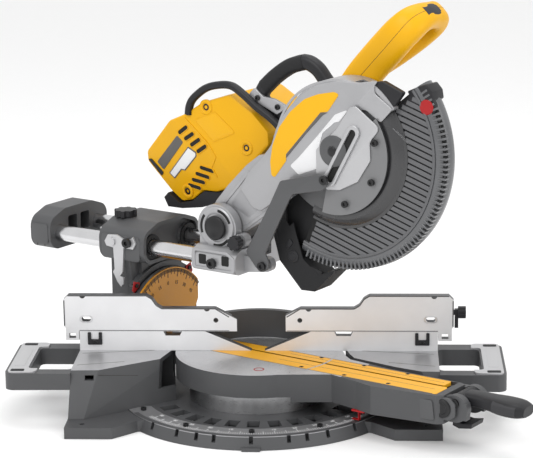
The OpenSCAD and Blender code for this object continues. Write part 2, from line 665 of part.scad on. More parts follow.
// cutting drive --------------------------------------------------------------
module saw_blade() color(steel) at_head() difference() {
    union() {
        cross_disc(arbor_f, arbor_z, blade_r - 6, -0.9, 0.9, 96);
        for (i = [0:39]) profile(-1.4, 1.4) translate([arbor_f, arbor_z]) rotate(i * 9)
            polygon([[blade_r - 9, -5], [blade_r - 1, -3], [blade_r, 0.5], [blade_r - 3, 2],
                [blade_r - 9, 6]]);
    }
    cross_disc(arbor_f, arbor_z, 12.7, -5, 5);
}
module arbor() color(steel) at_head() {
    cross_disc(arbor_f, arbor_z, 12.65, -78, 8);
    cross_disc(arbor_f, arbor_z, 25, 1.1, 6);
    cross_disc(arbor_f, arbor_z, 25, -8, -1.1);
    cross_disc(arbor_f, arbor_z, 32, -77, -62);
    cross_disc(arbor_f, arbor_z, 9, 8, 14, 6);
}
module case_plan(r0, r1) hull() {
    translate([arbor_f, arbor_z]) circle(r0, $fn = 32);
    translate([motor_f, motor_z]) circle(r1, $fn = 32);
}
module belt_case() color(black) at_head() difference() {
    profile(-82, -42) case_plan(40, 40);
    profile(-79, -46) case_plan(36, 36);
    cross_disc(arbor_f, arbor_z, 14, -60, -40);
    cross_disc(motor_f, motor_z, 11, -100, -78);
}
module drive_belt() color(black) at_head() profile(-76, -63) difference() {
    case_plan(35, 19);
    case_plan(32.5, 16.5);
}
module motor_plan() polygon([[-104, 150], [-104, 225], [-90, 238], [5, 235], [42, 218], [90, 205],
    [148, 173], [161, 116], [161, 70], [145, 53], [41, 53], [17, 58], [-15, 75], [-39, 98], [-74, 104],
    [-99, 120]]);
module motor_housing() color(yellow) at_head() difference() {
    profile(motor_far, motor_near) rounded(10) motor_plan();
    profile(-90, -40) case_plan(46, 42);
    profile(-190, -94) offset(delta = -5) motor_plan();
    profile(-100, -88) translate([motor_f, motor_z]) circle(11);
}
module motor_base() color(black) at_head() profile(-176, -44)
    polygon([[-106, 150], [-120, 150], [-126, 132], [-103, 108], [-67, 80], [-35, 62], [10, 50], [40, 50],
        [40, 52], [16, 57], [-16, 73.5], [-40, 96.5], [-75, 102.5], [-100.5, 119]]);
module motor_stator() color(steel) at_head() profile(-176, -112) difference() {
    translate([motor_f, motor_z]) circle(48);
    translate([motor_f, motor_z]) circle(28);
}
module motor_rotor() color(steel) at_head() {
    cross_disc(motor_f, motor_z, 27, -174, -114);
    cross_disc(motor_f, motor_z, 9, -184, -64);
    cross_disc(motor_f, motor_z, 16, -77, -62);
}
module battery_pack() color(black) at_head() profile(-258, -196.2)
    rounded(8) polygon([[-56, 112], [-56, 208], [52, 208], [60, 120]]);
module roll_bar() color(black) at_head() profile(-34, -20)
    polygon([[48, 218.5], [79, 232], [113, 226], [149, 209], [174, 186], [182, 156], [188, 84], [187, 35],
        [167, 22], [170, 84], [168, 148], [156, 171], [139, 188], [115, 206], [84, 212], [76, 210]]);
module top_handle() color(black) at_head() profile(-60, -34.6)
    polygon([[174, 66], [170, 112], [200, 142], [330, 122], [352, 100], [342, 32.2], [306, 32.2], [314, 92],
        [212, 112], [200, 98], [204, 66]]);
module d_plan(inset) offset(delta = -inset) rounded(20)
    polygon([[-34.6, 335], [-34.6, 440], [-24, 470], [-24, 530], [-150, 534], [-150, 450], [-96, 335]]);
module d_window() rounded(14) polygon([[-58, 440], [-58, 488], [-116, 490], [-116, 452], [-84, 430]]);
// a plan of (left, forward) points between two heights of the head
module head_plan(z0, z1) translate([0, 0, z0]) rotate([0, 0, 180]) linear_extrude(z1 - z0) children();
module d_handle_half(z0, z1, cut0, cut1) difference() {
    head_plan(z0, z1) difference() {
        d_plan(0);
        d_window();
    }
    head_plan(cut0, cut1) difference() {
        d_plan(4);
        offset(delta = 4) d_window();
    }
    // openings for the trigger and the lock-off
    translate([78, -504, 2]) cube([34, 32, 16]);
    translate([86, -518, 20]) cube([18, 12, 20]);
}
module d_handle_top() color(yellow) at_head() d_handle_half(10, 32, 5, 28);
module d_handle_bottom() color(yellow) at_head() d_handle_half(-14, 10, -10, 15);
module trigger() color(black) at_head() translate([78.5, -491.5, 2.5]) cube([33, 17.5, 15]);
module lock_off_lever() color(black) at_head() translate([86.5, -517.5, 24]) cube([17, 11, 11]);

base_casting();
grip_pads();
mitre_scale();
scale_screws();
bearing_ring();
turntable_bolt();
fixed_fence();
fence_bolts();
upper_fence_left();
upper_fence_right();
fence_knob_left();
fence_knob_right();
turntable();
kerf_plates();
table_screws();
mitre_pointer();
mitre_lock_lever();
mitre_lock_pin();
mitre_lock_rod();
detent_latch();
bevel_scale();
bevel_housing();
bevel_pointers();
pointer_screws();
bevel_bolt();
bevel_lock_lever();
rail_bushes();
rail_lock_knob();
slide_stop_hook();
slide_stop_bolt();
rails();
end_cap();
pivot_bracket();
pivot_bolt();
bracket_bolts();
head_spring();
lock_down_knob();
head_arm();
dust_shroud();
arm_bolts();
lower_guard();
guard_hub();
guard_hub_screws();
guard_link();
link_bolts();
saw_blade();
arbor();
motor_housing();
motor_base();
motor_stator();
motor_rotor();
belt_case();
drive_belt();
battery_pack();
roll_bar();
top_handle();
d_handle_top();
d_handle_bottom();
trigger();
lock_off_lever();
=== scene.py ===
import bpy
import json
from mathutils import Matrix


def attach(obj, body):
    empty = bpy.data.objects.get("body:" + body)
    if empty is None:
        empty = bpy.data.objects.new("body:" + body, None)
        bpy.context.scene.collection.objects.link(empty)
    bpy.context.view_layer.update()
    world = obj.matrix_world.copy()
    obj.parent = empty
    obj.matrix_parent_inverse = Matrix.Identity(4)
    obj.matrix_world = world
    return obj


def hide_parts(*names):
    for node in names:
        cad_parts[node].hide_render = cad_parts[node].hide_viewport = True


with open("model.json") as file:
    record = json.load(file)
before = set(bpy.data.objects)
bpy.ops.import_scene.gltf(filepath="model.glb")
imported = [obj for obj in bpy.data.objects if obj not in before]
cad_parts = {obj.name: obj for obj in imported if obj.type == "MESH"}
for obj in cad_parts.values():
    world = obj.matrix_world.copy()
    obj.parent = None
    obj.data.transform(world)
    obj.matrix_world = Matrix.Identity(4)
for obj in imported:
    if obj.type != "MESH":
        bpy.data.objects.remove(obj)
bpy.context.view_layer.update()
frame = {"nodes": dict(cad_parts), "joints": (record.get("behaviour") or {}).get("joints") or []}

import json
import math

import bmesh
import bpy
from mathutils import Matrix, Vector

# ---------------------------------------------------------------- frames, in millimetres
MM = 0.001
SIDE = Matrix(((0, 0, -1, 0), (-1, 0, 0, 0), (0, 1, 0, 0), (0, 0, 0, 1)))    # (forward, up, left)
CROSS = Matrix(((-1, 0, 0, 0), (0, 0, -1, 0), (0, 1, 0, 0), (0, 0, 0, 1)))   # (left, up, forward)
PLAN = Matrix(((0, -1, 0, 0), (-1, 0, 0, 0), (0, 0, 1, 0), (0, 0, 0, 1)))    # (forward, left, up)
FRONT = Matrix(((1, 0, 0, 0), (0, 0, 1, 0), (0, 1, 0, 0), (0, 0, 0, 1)))     # (x, z, y)
TOP = Matrix.Identity(4)
JOINT = {j["name"]: j for j in frame["joints"]}
RAISED = 47                  # degrees from the level head to the head at rest


def place_of(joint, m):
    """(forward, up) of a joint's anchor in a side view frame."""
    return tuple((m.inverted() @ (Vector(JOINT[joint]["pos_m"]) / MM))[:2])


rearward = JOINT["bevel"]["axis"]
ARM = Matrix.Rotation(math.atan2(-rearward[0], rearward[1]), 4, "Z")
AS = ARM @ SIDE
PIVOT = place_of("chop", AS)
HEAD = ARM @ Matrix.Translation((0, -PIVOT[0], PIVOT[1])) @ Matrix.Rotation(math.radians(-RAISED), 4, "X")
HS = HEAD @ SIDE
GF, GZ = place_of("lower_guard_swing", HS)
BF, BZ = place_of("blade_spin", HS)
DECK = 101                   # height of the table and the deck


# ---------------------------------------------------------------- mesh building
def put(me, name, m, body, mat, smooth=32, bevel=0):
    """Turns a mesh in a local frame into a named piece that rides a body."""
    me.transform(m)
    me.transform(Matrix.Scale(MM, 4))
    bm = bmesh.new()
    bm.from_mesh(me)
    bmesh.ops.remove_doubles(bm, verts=bm.verts, dist=1e-7)
    bmesh.ops.recalc_face_normals(bm, faces=bm.faces)
    bm.to_mesh(me)
    bm.free()
    me.polygons.foreach_set("use_smooth", [True] * len(me.polygons))
    me.set_sharp_from_angle(angle=math.radians(smooth))
    me.name = name
    ob = bpy.data.objects.new(name, me)
    bpy.context.scene.collection.objects.link(ob)
    me.materials.clear()
    me.materials.append(mat)
    if bevel:
        b = ob.modifiers.new("bevel", "BEVEL")
        b.width, b.segments, b.limit_method, b.angle_limit = bevel * MM, 2, "ANGLE", math.radians(40)
    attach(ob, body)
    return ob


def from_curve(cu):
    """Mesh of a curve or text, which is then removed."""
    ob = bpy.data.objects.new("tmp", cu)
    bpy.context.scene.collection.objects.link(ob)
    dg = bpy.context.evaluated_depsgraph_get()
    me = bpy.data.meshes.new_from_object(ob.evaluated_get(dg))
    bpy.data.objects.remove(ob)
    bpy.data.curves.remove(cu)
    return me


def slab(loops, c0, c1, bevel=0.8):
    """Mesh of an outline, later loops being holes, between two levels, with rounded edges."""
    cu = bpy.data.curves.new("tmp", "CURVE")
    cu.dimensions, cu.fill_mode = "2D", "BOTH"
    cu.extrude, cu.bevel_depth, cu.bevel_resolution = max((c1 - c0) / 2 - bevel, 0), bevel, 2
    cu.offset = -bevel
    for loop in loops:
        sp = cu.splines.new("POLY")
        sp.points.add(len(loop) - 1)
        for p, (a, b) in zip(sp.points, loop):
            p.co = (a, b, 0, 1)
        sp.use_cyclic_u = True
    me = from_curve(cu)
    me.transform(Matrix.Translation((0, 0, (c0 + c1) / 2)))
    return me


def plate(name, loops, c0, c1, m, body, mat, bevel=0.8, **k):
    """Piece cut from one outline, or from an outline and its holes, between two levels."""
    if not isinstance(loops[0][0], (tuple, list)):
        loops = [loops]
    return put(slab(loops, c0, c1, bevel), name, m, body, mat, **k)


def lathe_mesh(prof, seg=64, at=(0, 0)):
    """Solid of revolution about the third axis: profile of (radius, level) points."""
    bm = bmesh.new()
    rings = []
    for r, c in prof:
        if r < 1e-6:
            rings.append([bm.verts.new((at[0], at[1], c))])
        else:
            rings.append([bm.verts.new((at[0] + r * math.cos(2 * math.pi * i / seg),
                                        at[1] + r * math.sin(2 * math.pi * i / seg),
                                        c)) for i in range(seg)])
    for a, b in zip(rings, rings[1:]):
        for i in range(seg):
            j = (i + 1) % seg
            if len(a) == 1 and len(b) == 1:
                continue
            if len(a) == 1:
                bm.faces.new((a[0], b[i], b[j]))
            elif len(b) == 1:
                bm.faces.new((a[i], a[j], b[0]))
            else:
                bm.faces.new((a[i], a[j], b[j], b[i]))
    me = bpy.data.meshes.new("tmp")
    bm.to_mesh(me)
    bm.free()
    return me


def lathe(name, prof, m, body, mat, seg=64, at=(0, 0), **k):
    return put(lathe_mesh(prof, seg, at), name, m, body, mat, **k)


def joined(meshes):
    """One mesh of several."""
    bm = bmesh.new()
    for me in meshes:
        bm.from_mesh(me)
    out = bpy.data.meshes.new("tmp")
    bm.to_mesh(out)
    bm.free()
    return out


def mesh_of(verts, faces):
    me = bpy.data.meshes.new("tmp")
    me.from_pydata([tuple(v) for v in verts], [], faces)
    return me


def bar(a, b, w, c0, c1):
    """Box from a to b in the plane, width w, between two levels."""
    ax, ay = a
    bx, by = b
    d = math.hypot(bx - ax, by - ay)
    nx, ny = -(by - ay) / d * w / 2, (bx - ax) / d * w / 2
    q = [(ax + nx, ay + ny), (bx + nx, by + ny), (bx - nx, by - ny), (ax - nx, ay - ny)]
    v = [(x, y, c0) for x, y in q] + [(x, y, c1) for x, y in q]
    return mesh_of(v, [(0, 1, 2, 3), (7, 6, 5, 4), (0, 4, 5, 1), (1, 5, 6, 2), (2, 6, 7, 3), (3, 7, 4, 0)])


def smooth_path(pts, n):
    """Points of a curve through the given points, n to each span."""
    pts = [Vector(p) for p in pts]
    out = []
    for i in range(len(pts) - 1):
        p0 = pts[max(i - 1, 0)]
        p1, p2 = pts[i], pts[i + 1]
        p3 = pts[min(i + 2, len(pts) - 1)]
        for k in range(n):
            t = k / n
            out.append(0.5 * ((2 * p1) + (-p0 + p2) * t + (2 * p0 - 5 * p1 + 4 * p2 - p3) * t * t
                              + (-p0 + 3 * p1 - 3 * p2 + p3) * t ** 3))
    out.append(pts[-1])
    return out


def fillet(pts, r, n=5):
    """Rounds the corners of a closed outline; r is one radius or one for each point."""
    out = []
    for i, p in enumerate(pts):
        rad = r[i] if isinstance(r, (list, tuple)) else r
        p, a, b = Vector(p), Vector(pts[i - 1]), Vector(pts[(i + 1) % len(pts)])
        u, v = (a - p), (b - p)
        lu, lv = u.length, v.length
        u.normalize(), v.normalize()
        ang = u.angle(v)
        if rad <= 0 or ang > 3.1:        # a nearly straight corner stays
            out.append(tuple(p))
            continue
        t = min(rad / math.tan(ang / 2), lu * 0.48, lv * 0.48)
        q0, q1 = p + u * t, p + v * t
        for k in range(n + 1):
            s = k / n
            out.append(tuple((1 - s) ** 2 * q0 + 2 * s * (1 - s) * p + s * s * q1))
    return out


def circle(a, b, r, n=48, t0=0, t1=360):
    """Points of a circle, or of an arc from t0 to t1 degrees."""
    full = abs(t1 - t0 - 360) < 1e-6
    return [(a + r * math.cos(math.radians(t0 + (t1 - t0) * i / n)),
             b + r * math.sin(math.radians(t0 + (t1 - t0) * i / n))) for i in range(n if full else n + 1)]


def sweep(name, stations, m, body, mat, seg=24, power=2.6, **k):
    """Skin through oval stations: each is (centre, half width vector, half height vector)."""
    verts, faces = [], []
    for c, w, h in stations:
        c, w, h = Vector(c), Vector(w), Vector(h)
        for i in range(seg):
            t = 2 * math.pi * i / seg
            x, y = math.cos(t), math.sin(t)
            x, y = math.copysign(abs(x) ** (2 / power), x), math.copysign(abs(y) ** (2 / power), y)
            verts.append(c + w * x + h * y)
    for s in range(len(stations) - 1):
        for i in range(seg):
            j = (i + 1) % seg
            faces.append((s * seg + i, s * seg + j, (s + 1) * seg + j, (s + 1) * seg + i))
    faces.append(tuple(range(seg)))
    faces.append(tuple(reversed(range((len(stations) - 1) * seg, len(stations) * seg))))
    return put(mesh_of(verts, faces), name, m, body, mat, **k)


def screws(name, places, r, h, m, body, mat, base=0.0):
    """Cap screws with a round recess, heads towards the third axis."""
    parts = []
    for a, b, c in places:
        head = [(0, c + h * 0.4), (r * 0.5, c + h * 0.4), (r * 0.54, c + h), (r * 0.86, c + h),
                (r, c + h * 0.82), (r, c + base)]
        parts.append(lathe_mesh(head, 24, (a, b)))
    return put(joined(parts), name, m, body, mat)


# ---------------------------------------------------------------- materials
def node_tree(name):
    """New node material with only its output."""
    mt = bpy.data.materials.new(name)
    mt.use_nodes = True
    nt = mt.node_tree
    nt.nodes.clear()
    out = nt.nodes.new("ShaderNodeOutputMaterial")
    return mt, nt, out


def surface(nt, col, rough=0.5, metal=0.0, bump=0.15, scale=900.0, vary=0.08, coat=0.0, grain=None,
            coarse=22.0, deep=0.00025, spec=0.5):
    """One finish: fine bump, slow change of colour and of roughness, and a stretched grain if asked."""
    n, link = nt.nodes, nt.links.new
    b = n.new("ShaderNodeBsdfPrincipled")
    tc = n.new("ShaderNodeTexCoord")
    mp = n.new("ShaderNodeMapping")
    mp.inputs["Scale"].default_value = grain or (1, 1, 1)
    link(tc.outputs["Object"], mp.inputs["Vector"])
    fine = n.new("ShaderNodeTexNoise")
    fine.inputs["Scale"].default_value, fine.inputs["Detail"].default_value = scale, 3
    link(mp.outputs["Vector"], fine.inputs["Vector"])
    slow = n.new("ShaderNodeTexNoise")
    slow.inputs["Scale"].default_value, slow.inputs["Detail"].default_value = coarse, 4
    link(tc.outputs["Object"], slow.inputs["Vector"])
    ramp = n.new("ShaderNodeMix")
    ramp.data_type = "RGBA"
    ramp.inputs["A"].default_value = (*[c * (1 - vary) for c in col], 1)
    ramp.inputs["B"].default_value = (*[min(c * (1 + vary), 1) for c in col], 1)
    link(slow.outputs["Fac"], ramp.inputs["Factor"])
    link(ramp.outputs["Result"], b.inputs["Base Color"])
    rr = n.new("ShaderNodeMapRange")
    rr.inputs["To Min"].default_value = max(rough - 0.09, 0.03)
    rr.inputs["To Max"].default_value = rough + 0.09
    link((fine if grain else slow).outputs["Fac"], rr.inputs["Value"])
    link(rr.outputs["Result"], b.inputs["Roughness"])
    bp = n.new("ShaderNodeBump")
    bp.inputs["Strength"].default_value, bp.inputs["Distance"].default_value = bump, deep
    link(fine.outputs["Fac"], bp.inputs["Height"])
    link(bp.outputs["Normal"], b.inputs["Normal"])
    b.inputs["Metallic"].default_value = metal
    b.inputs["Coat Weight"].default_value = coat
    b.inputs["Specular IOR Level"].default_value = spec
    b.inputs["Coat Roughness"].default_value = 0.25
    return b


def finish_of(name, *a, **k):
    """Material of one finish."""
    mt, nt, out = node_tree(name)
    b = surface(nt, *a, **k)
    nt.links.new(b.outputs["BSDF"], out.inputs["Surface"])
    return mt


def limit(nt, value, low, soft=0.0002):
    """1 where value is above low."""
    r = nt.nodes.new("ShaderNodeMapRange")
    r.inputs["From Min"].default_value, r.inputs["From Max"].default_value = low - soft, low + soft
    nt.links.new(value, r.inputs["Value"])
    return r.outputs["Result"]


def times(nt, a, b, op="MULTIPLY"):
    """Two node values, or numbers, put through one maths node."""
    m = nt.nodes.new("ShaderNodeMath")
    m.operation = op
    for i, v in enumerate((a, b)):
        if isinstance(v, (int, float)):
            m.inputs[i].default_value = v
        else:
            nt.links.new(v, m.inputs[i])
    return m.outputs[0]


def axes_of(nt, kind):
    """X, Y and Z of a texture coordinate."""
    tc = nt.nodes.new("ShaderNodeTexCoord")
    sp = nt.nodes.new("ShaderNodeSeparateXYZ")
    nt.links.new(tc.outputs[kind], sp.inputs[0])
    return sp.outputs


def two_finish(name, first, second, mask):
    """Second finish where mask(nt) is 1."""
    mt, nt, out = node_tree(name)
    a, b = surface(nt, **first), surface(nt, **second)
    mix = nt.nodes.new("ShaderNodeMixShader")
    nt.links.new(mask(nt), mix.inputs["Fac"])
    nt.links.new(a.outputs["BSDF"], mix.inputs[1])
    nt.links.new(b.outputs["BSDF"], mix.inputs[2])
    nt.links.new(mix.outputs["Shader"], out.inputs["Surface"])
    return mt


DARK = dict(col=(0.060, 0.061, 0.064), rough=0.48, bump=0.25, scale=1400, vary=0.10)
MACHINED = dict(col=(0.50, 0.50, 0.51), rough=0.36, metal=0.85, bump=0.12, scale=700, vary=0.12,
                grain=(0.15, 3, 3))
dark = finish_of("dark_casting", **DARK)
dark_smooth = finish_of("dark_smooth", (0.068, 0.069, 0.072), rough=0.38, bump=0.08, scale=900)
black = finish_of("black_plastic", (0.016, 0.016, 0.018), rough=0.42, bump=0.20, scale=1600, vary=0.2,
                  spec=0.28)
grip = finish_of("grip_plastic", (0.035, 0.035, 0.038), rough=0.55, bump=0.35, scale=1300, vary=0.15,
                 spec=0.3)
rubber = finish_of("rubber", (0.013, 0.013, 0.014), rough=0.62, bump=0.30, scale=1000, vary=0.2, spec=0.3)
# Near-black painted shade, put as sheets in recesses, slots, vents, windows and grooves
recess_shade = finish_of("recess_shade", (0.006, 0.006, 0.006), rough=0.8, bump=0.1)
screw_black = finish_of("black_oxide", (0.012, 0.012, 0.013), rough=0.33, metal=0.3, bump=0.15, scale=2500,
                        vary=0.3)
silver = finish_of("silver_casting", (0.37, 0.37, 0.38), rough=0.40, metal=0.55, bump=0.22, scale=1500,
                   vary=0.07)
# Light silver for a painted highlight on the flat face of the upper guard cover
highlight_silver = finish_of("painted_highlight_panel", (0.72, 0.72, 0.73), rough=0.30, metal=0.35, bump=0.06, scale=900,
                   vary=0.05)
plate_silver = finish_of("satin_plate", (0.50, 0.50, 0.51), rough=0.34, metal=0.6, bump=0.10, scale=1300,
                         vary=0.06)
steel = finish_of("brushed_steel", (0.58, 0.58, 0.59), rough=0.30, metal=1.0, bump=0.03, scale=260,
                  vary=0.10, grain=(0.3, 0.3, 5))
rail_steel = finish_of("rail_steel", (0.66, 0.66, 0.67), rough=0.20, metal=1.0, bump=0.05, scale=400,
                       vary=0.12)
scale_steel = finish_of("scale_steel", (0.34, 0.34, 0.35), rough=0.42, metal=0.7, bump=0.12, scale=800,
                        vary=0.12)
blade_steel = finish_of("blade_steel", (0.56, 0.56, 0.58), rough=0.30, metal=1.0, bump=0.015, scale=500,
                        vary=0.08)
carbide = finish_of("carbide", (0.30, 0.30, 0.31), rough=0.35, metal=1.0, bump=0.1, scale=2000)
yellow = finish_of("yellow_plastic", (0.72, 0.37, 0.002), rough=0.42, bump=0.14, scale=1300, vary=0.04,
                   spec=0.25)
yellow_print = finish_of("yellow_print", (0.74, 0.385, 0.003), rough=0.38, bump=0.04, scale=900, vary=0.03,
                         spec=0.3)
yellow_kerf = finish_of("yellow_kerf", (0.86, 0.42, 0.010), rough=0.42, bump=0.10, scale=1100, vary=0.04)
ochre = finish_of("ochre_scale", (0.60, 0.25, 0.006), rough=0.40, bump=0.05, scale=900, vary=0.08)
orange = finish_of("orange_print", (0.66, 0.25, 0.010), rough=0.35, bump=0.05, scale=900, vary=0.08)
red = finish_of("red_marker", (0.34, 0.010, 0.012), rough=0.42, bump=0.06, scale=900, spec=0.3)
slot_red = finish_of("slot_red", (0.13, 0.010, 0.008), rough=0.6, bump=0.08, scale=900)
ink = finish_of("ink", (0.018, 0.016, 0.014), rough=0.5, bump=0.03)
# Dark grey for printed and scribed lines and edges, and for the painted shade under the crescent's step
grey_ink_and_shade = finish_of("grey_ink_and_shade", (0.09, 0.085, 0.08), rough=0.45, bump=0.03)
label_white = finish_of("label_white", (0.72, 0.72, 0.72), rough=0.4, bump=0.03, vary=0.03)
guard_dark = finish_of("guard_dark", (0.098, 0.099, 0.104), rough=0.36, bump=0.10, scale=1200, vary=0.08)
guard_rim = finish_of("guard_rim", (0.085, 0.087, 0.092), rough=0.22, bump=0.10, scale=500, vary=0.2,
                      coat=0.5)
winding = finish_of("winding", (0.25, 0.09, 0.03), rough=0.45, metal=0.6, bump=0.3, scale=500)


def level_top(nt, low):
    """1 on faces that look up, above a height."""
    height, facing = axes_of(nt, "Object")["Z"], axes_of(nt, "Normal")["Z"]
    return times(nt, limit(nt, height, low), limit(nt, facing, 0.9, 0.03))


def deck_mask(nt):
    return level_top(nt, DECK * MM - 0.0016)


def table_mask(nt):
    """The machined top: the disc, without the scale arm beyond it."""
    p = axes_of(nt, "Object")
    r2 = times(nt, times(nt, p["X"], p["X"]), times(nt, p["Y"], p["Y"]), "ADD")
    near = times(nt, 1.0, limit(nt, r2, 0.0470, 0.00005), "SUBTRACT")
    return times(nt, level_top(nt, DECK * MM - 0.0014), near)


def face_mask(nt):
    """The front face of the fences."""
    p, n = axes_of(nt, "Object"), axes_of(nt, "Normal")
    front = limit(nt, times(nt, n["Y"], -1.0), 0.9, 0.03)
    return times(nt, front, times(nt, 1.0, limit(nt, p["Y"], 0.001), "SUBTRACT"))


deck = two_finish("deck_casting", DARK, MACHINED, deck_mask)
table_top = two_finish("table_casting", DARK, dict(MACHINED, col=(0.60, 0.60, 0.61), rough=0.3), table_mask)
fence = two_finish("fence_casting", DARK, dict(col=(0.70, 0.70, 0.71), rough=0.42, metal=0.45, bump=0.10,
                                               scale=500, vary=0.08, grain=(0.2, 2, 2)), face_mask)

# ---------------------------------------------------------------- CAD pieces kept as they are
FINISH = {
    "base_casting": deck, "grip_pads": plate_silver, "mitre_scale": scale_steel, "scale_screws": screw_black,
    "bearing_ring": steel, "turntable_bolt": steel, "fixed_fence": fence, "fence_bolts": screw_black,
    "upper_fence_left": fence, "upper_fence_right": fence, "fence_knob_left": black,
    "fence_knob_right": black,
    "turntable": table_top, "kerf_plates": yellow_kerf, "table_screws": screw_black, "mitre_pointer": red,
    "mitre_lock_lever": grip, "mitre_lock_pin": screw_black, "mitre_lock_rod": steel, "detent_latch": black,
    "bevel_scale": ochre, "bevel_housing": dark, "bevel_pointers": red, "pointer_screws": screw_black,
    "bevel_bolt": steel, "bevel_lock_lever": black, "rail_bushes": steel, "rail_lock_knob": black,
    "slide_stop_hook": plate_silver, "slide_stop_bolt": screw_black, "rails": rail_steel, "end_cap": dark,
    "pivot_bracket": silver, "pivot_bolt": steel, "bracket_bolts": screw_black, "head_spring": steel,
    "lock_down_knob": black, "head_arm": silver, "dust_shroud": rubber, "arm_bolts": screw_black,
    "lower_guard": guard_dark, "guard_hub": plate_silver, "guard_hub_screws": screw_black, "guard_link": dark,
    "link_bolts": screw_black, "saw_blade": blade_steel, "arbor": steel, "motor_housing": yellow,
    "motor_base": black, "motor_stator": winding, "motor_rotor": steel, "belt_case": silver,
    "drive_belt": rubber,
    "battery_pack": black, "roll_bar": black, "top_handle": black, "d_handle_top": yellow,
    "d_handle_bottom": yellow, "trigger": black, "lock_off_lever": black,
}
EDGE = {"base_casting": 2.0, "turntable": 1.6, "bevel_housing": 1.8, "end_cap": 2.0, "pivot_bracket": 1.2,
        "mitre_lock_lever": 2.5, "dust_shroud": 2.0, "belt_case": 2.0, "battery_pack": 2.0, "head_arm": 0.8,
        "guard_link": 1.0, "fixed_fence": 0.7, "upper_fence_left": 0.7, "upper_fence_right": 0.7,
        "motor_base": 2.5, "top_handle": 2.5, "roll_bar": 2.5, "kerf_plates": 0.4}
for node, ob in frame["nodes"].items():
    ob.data.materials.clear()
    ob.data.materials.append(FINISH[node])
    b = ob.modifiers.new("bevel", "BEVEL")
    b.width, b.segments = EDGE.get(node, 0.4) * MM, 2
    b.limit_method, b.angle_limit = "ANGLE", math.radians(38)
    b.harden_normals = False
    ob.data.polygons.foreach_set("use_smooth", [True] * len(ob.data.polygons))
    w = ob.modifiers.new("normals", "WEIGHTED_NORMAL")
    w.keep_sharp = True
    ob.data.set_sharp_from_angle(angle=math.radians(35))

# ---------------------------------------------------------------- more builders
def turned_mesh(prof, t0, t1, seg, at):
    """Closed profile of (radius, level) points turned from t0 to t1 degrees, ends closed."""
    verts, faces, k = [], [], len(prof)
    for i in range(seg + 1):
        t = math.radians(t0 + (t1 - t0) * i / seg)
        verts += [(at[0] + r * math.cos(t), at[1] + r * math.sin(t), c) for r, c in prof]
    for i in range(seg):
        for j in range(k):
            q = (j + 1) % k
            faces.append((i * k + j, i * k + q, (i + 1) * k + q, (i + 1) * k + j))
    faces.append(tuple(range(k)))
    faces.append(tuple(reversed(range(seg * k, seg * k + k))))
    return mesh_of(verts, faces)


def turned(name, prof, t0, t1, m, body, mat, seg=96, at=(GF, GZ), **k):
    return put(turned_mesh(prof, t0, t1, seg, at), name, m, body, mat, **k)


def bars(name, lines, w, c0, c1, m, body, mat, **k):
    """Piece of several straight bars of one width."""
    return put(joined([bar(a, b, w, c0, c1) for a, b in lines]), name, m, body, mat, **k)


def spokes(at, r0, r1, angles):
    """Radial lines at the given degrees."""
    units = [(math.cos(math.radians(t)), math.sin(math.radians(t))) for t in angles]
    return [[(at[0] + r * c, at[1] + r * s) for r in (r0, r1)] for c, s in units]


def within(pts, at, r):
    """Points further than r from a centre are drawn in to r."""
    out = []
    for a, b in pts:
        d = math.hypot(a - at[0], b - at[1])
        s = min(1.0, r / d)
        out.append((at[0] + (a - at[0]) * s, at[1] + (b - at[1]) * s))
    return out


def dense(pts, step):
    """A closed outline with points no further apart than about one step."""
    out = []
    for i, (a, b) in enumerate(pts):
        c, d = pts[(i + 1) % len(pts)]
        n = max(1, int(math.hypot(c - a, d - b) / step))
        out += [(a + (c - a) * k / n, b + (d - b) * k / n) for k in range(n)]
    return out


def number(name, text, size, m, body, mat):
    """Raised digits, centred on the frame's origin."""
    cu = bpy.data.curves.new("tmp", "FONT")
    cu.body, cu.size, cu.extrude, cu.align_x, cu.align_y = text, size, 0.15, "CENTER", "CENTER"
    return put(from_curve(cu), name, m, body, mat)


annulus_grey = finish_of("annulus_grey", (0.16, 0.161, 0.165), rough=0.38, bump=0.10, scale=1200, vary=0.06)
cone_black = finish_of("cone_black", (0.030, 0.030, 0.032), rough=0.26, bump=0.06, scale=900, vary=0.15,
                       coat=0.3)
hub_silver = finish_of("hub_silver", (0.44, 0.44, 0.45), rough=0.36, metal=0.55, bump=0.12, scale=1300,
                       vary=0.05)

# ---------------------------------------------------------------- saw blade
GULLETS = 40
blade_loop = []
for i in range(GULLETS):
    for da, r in ((0.0, 152.2), (0.6, 149.2), (1.7, 146.0), (2.8, 141.2), (4.4, 140.4), (5.8, 144.2),
                  (7.2, 148.6), (8.2, 150.6)):
        t = math.radians(i * 360 / GULLETS + da)
        blade_loop.append((BF + r * math.cos(t), BZ + r * math.sin(t)))
blade_body = plate("blade_plate", [blade_loop, circle(BF, BZ, 12.8, 32)], -0.9, 0.9, HS, "blade",
                   blade_steel, bevel=0.15)
bars("blade_tips", spokes((BF, BZ), 142.5, 152.4, [i * 360 / GULLETS - 0.5 for i in range(GULLETS)]), 2.6,
     -1.4, 1.4, HS, "blade", carbide)
plate("blade_print", [circle(BF, BZ, 127, 96), circle(BF, BZ, 40, 64)], 0.86, 1.02, HS, "blade", orange,
      bevel=0.02)
plate("blade_line", [circle(BF, BZ, 122, 96), circle(BF, BZ, 120.6, 96)], 0.9, 1.06, HS, "blade",
      label_white, bevel=0.02)
plate("blade_band", [circle(BF, BZ, 60, 64), circle(BF, BZ, 40, 64)], 0.9, 1.06, HS, "blade", ink,
      bevel=0.02)
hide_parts("saw_blade")

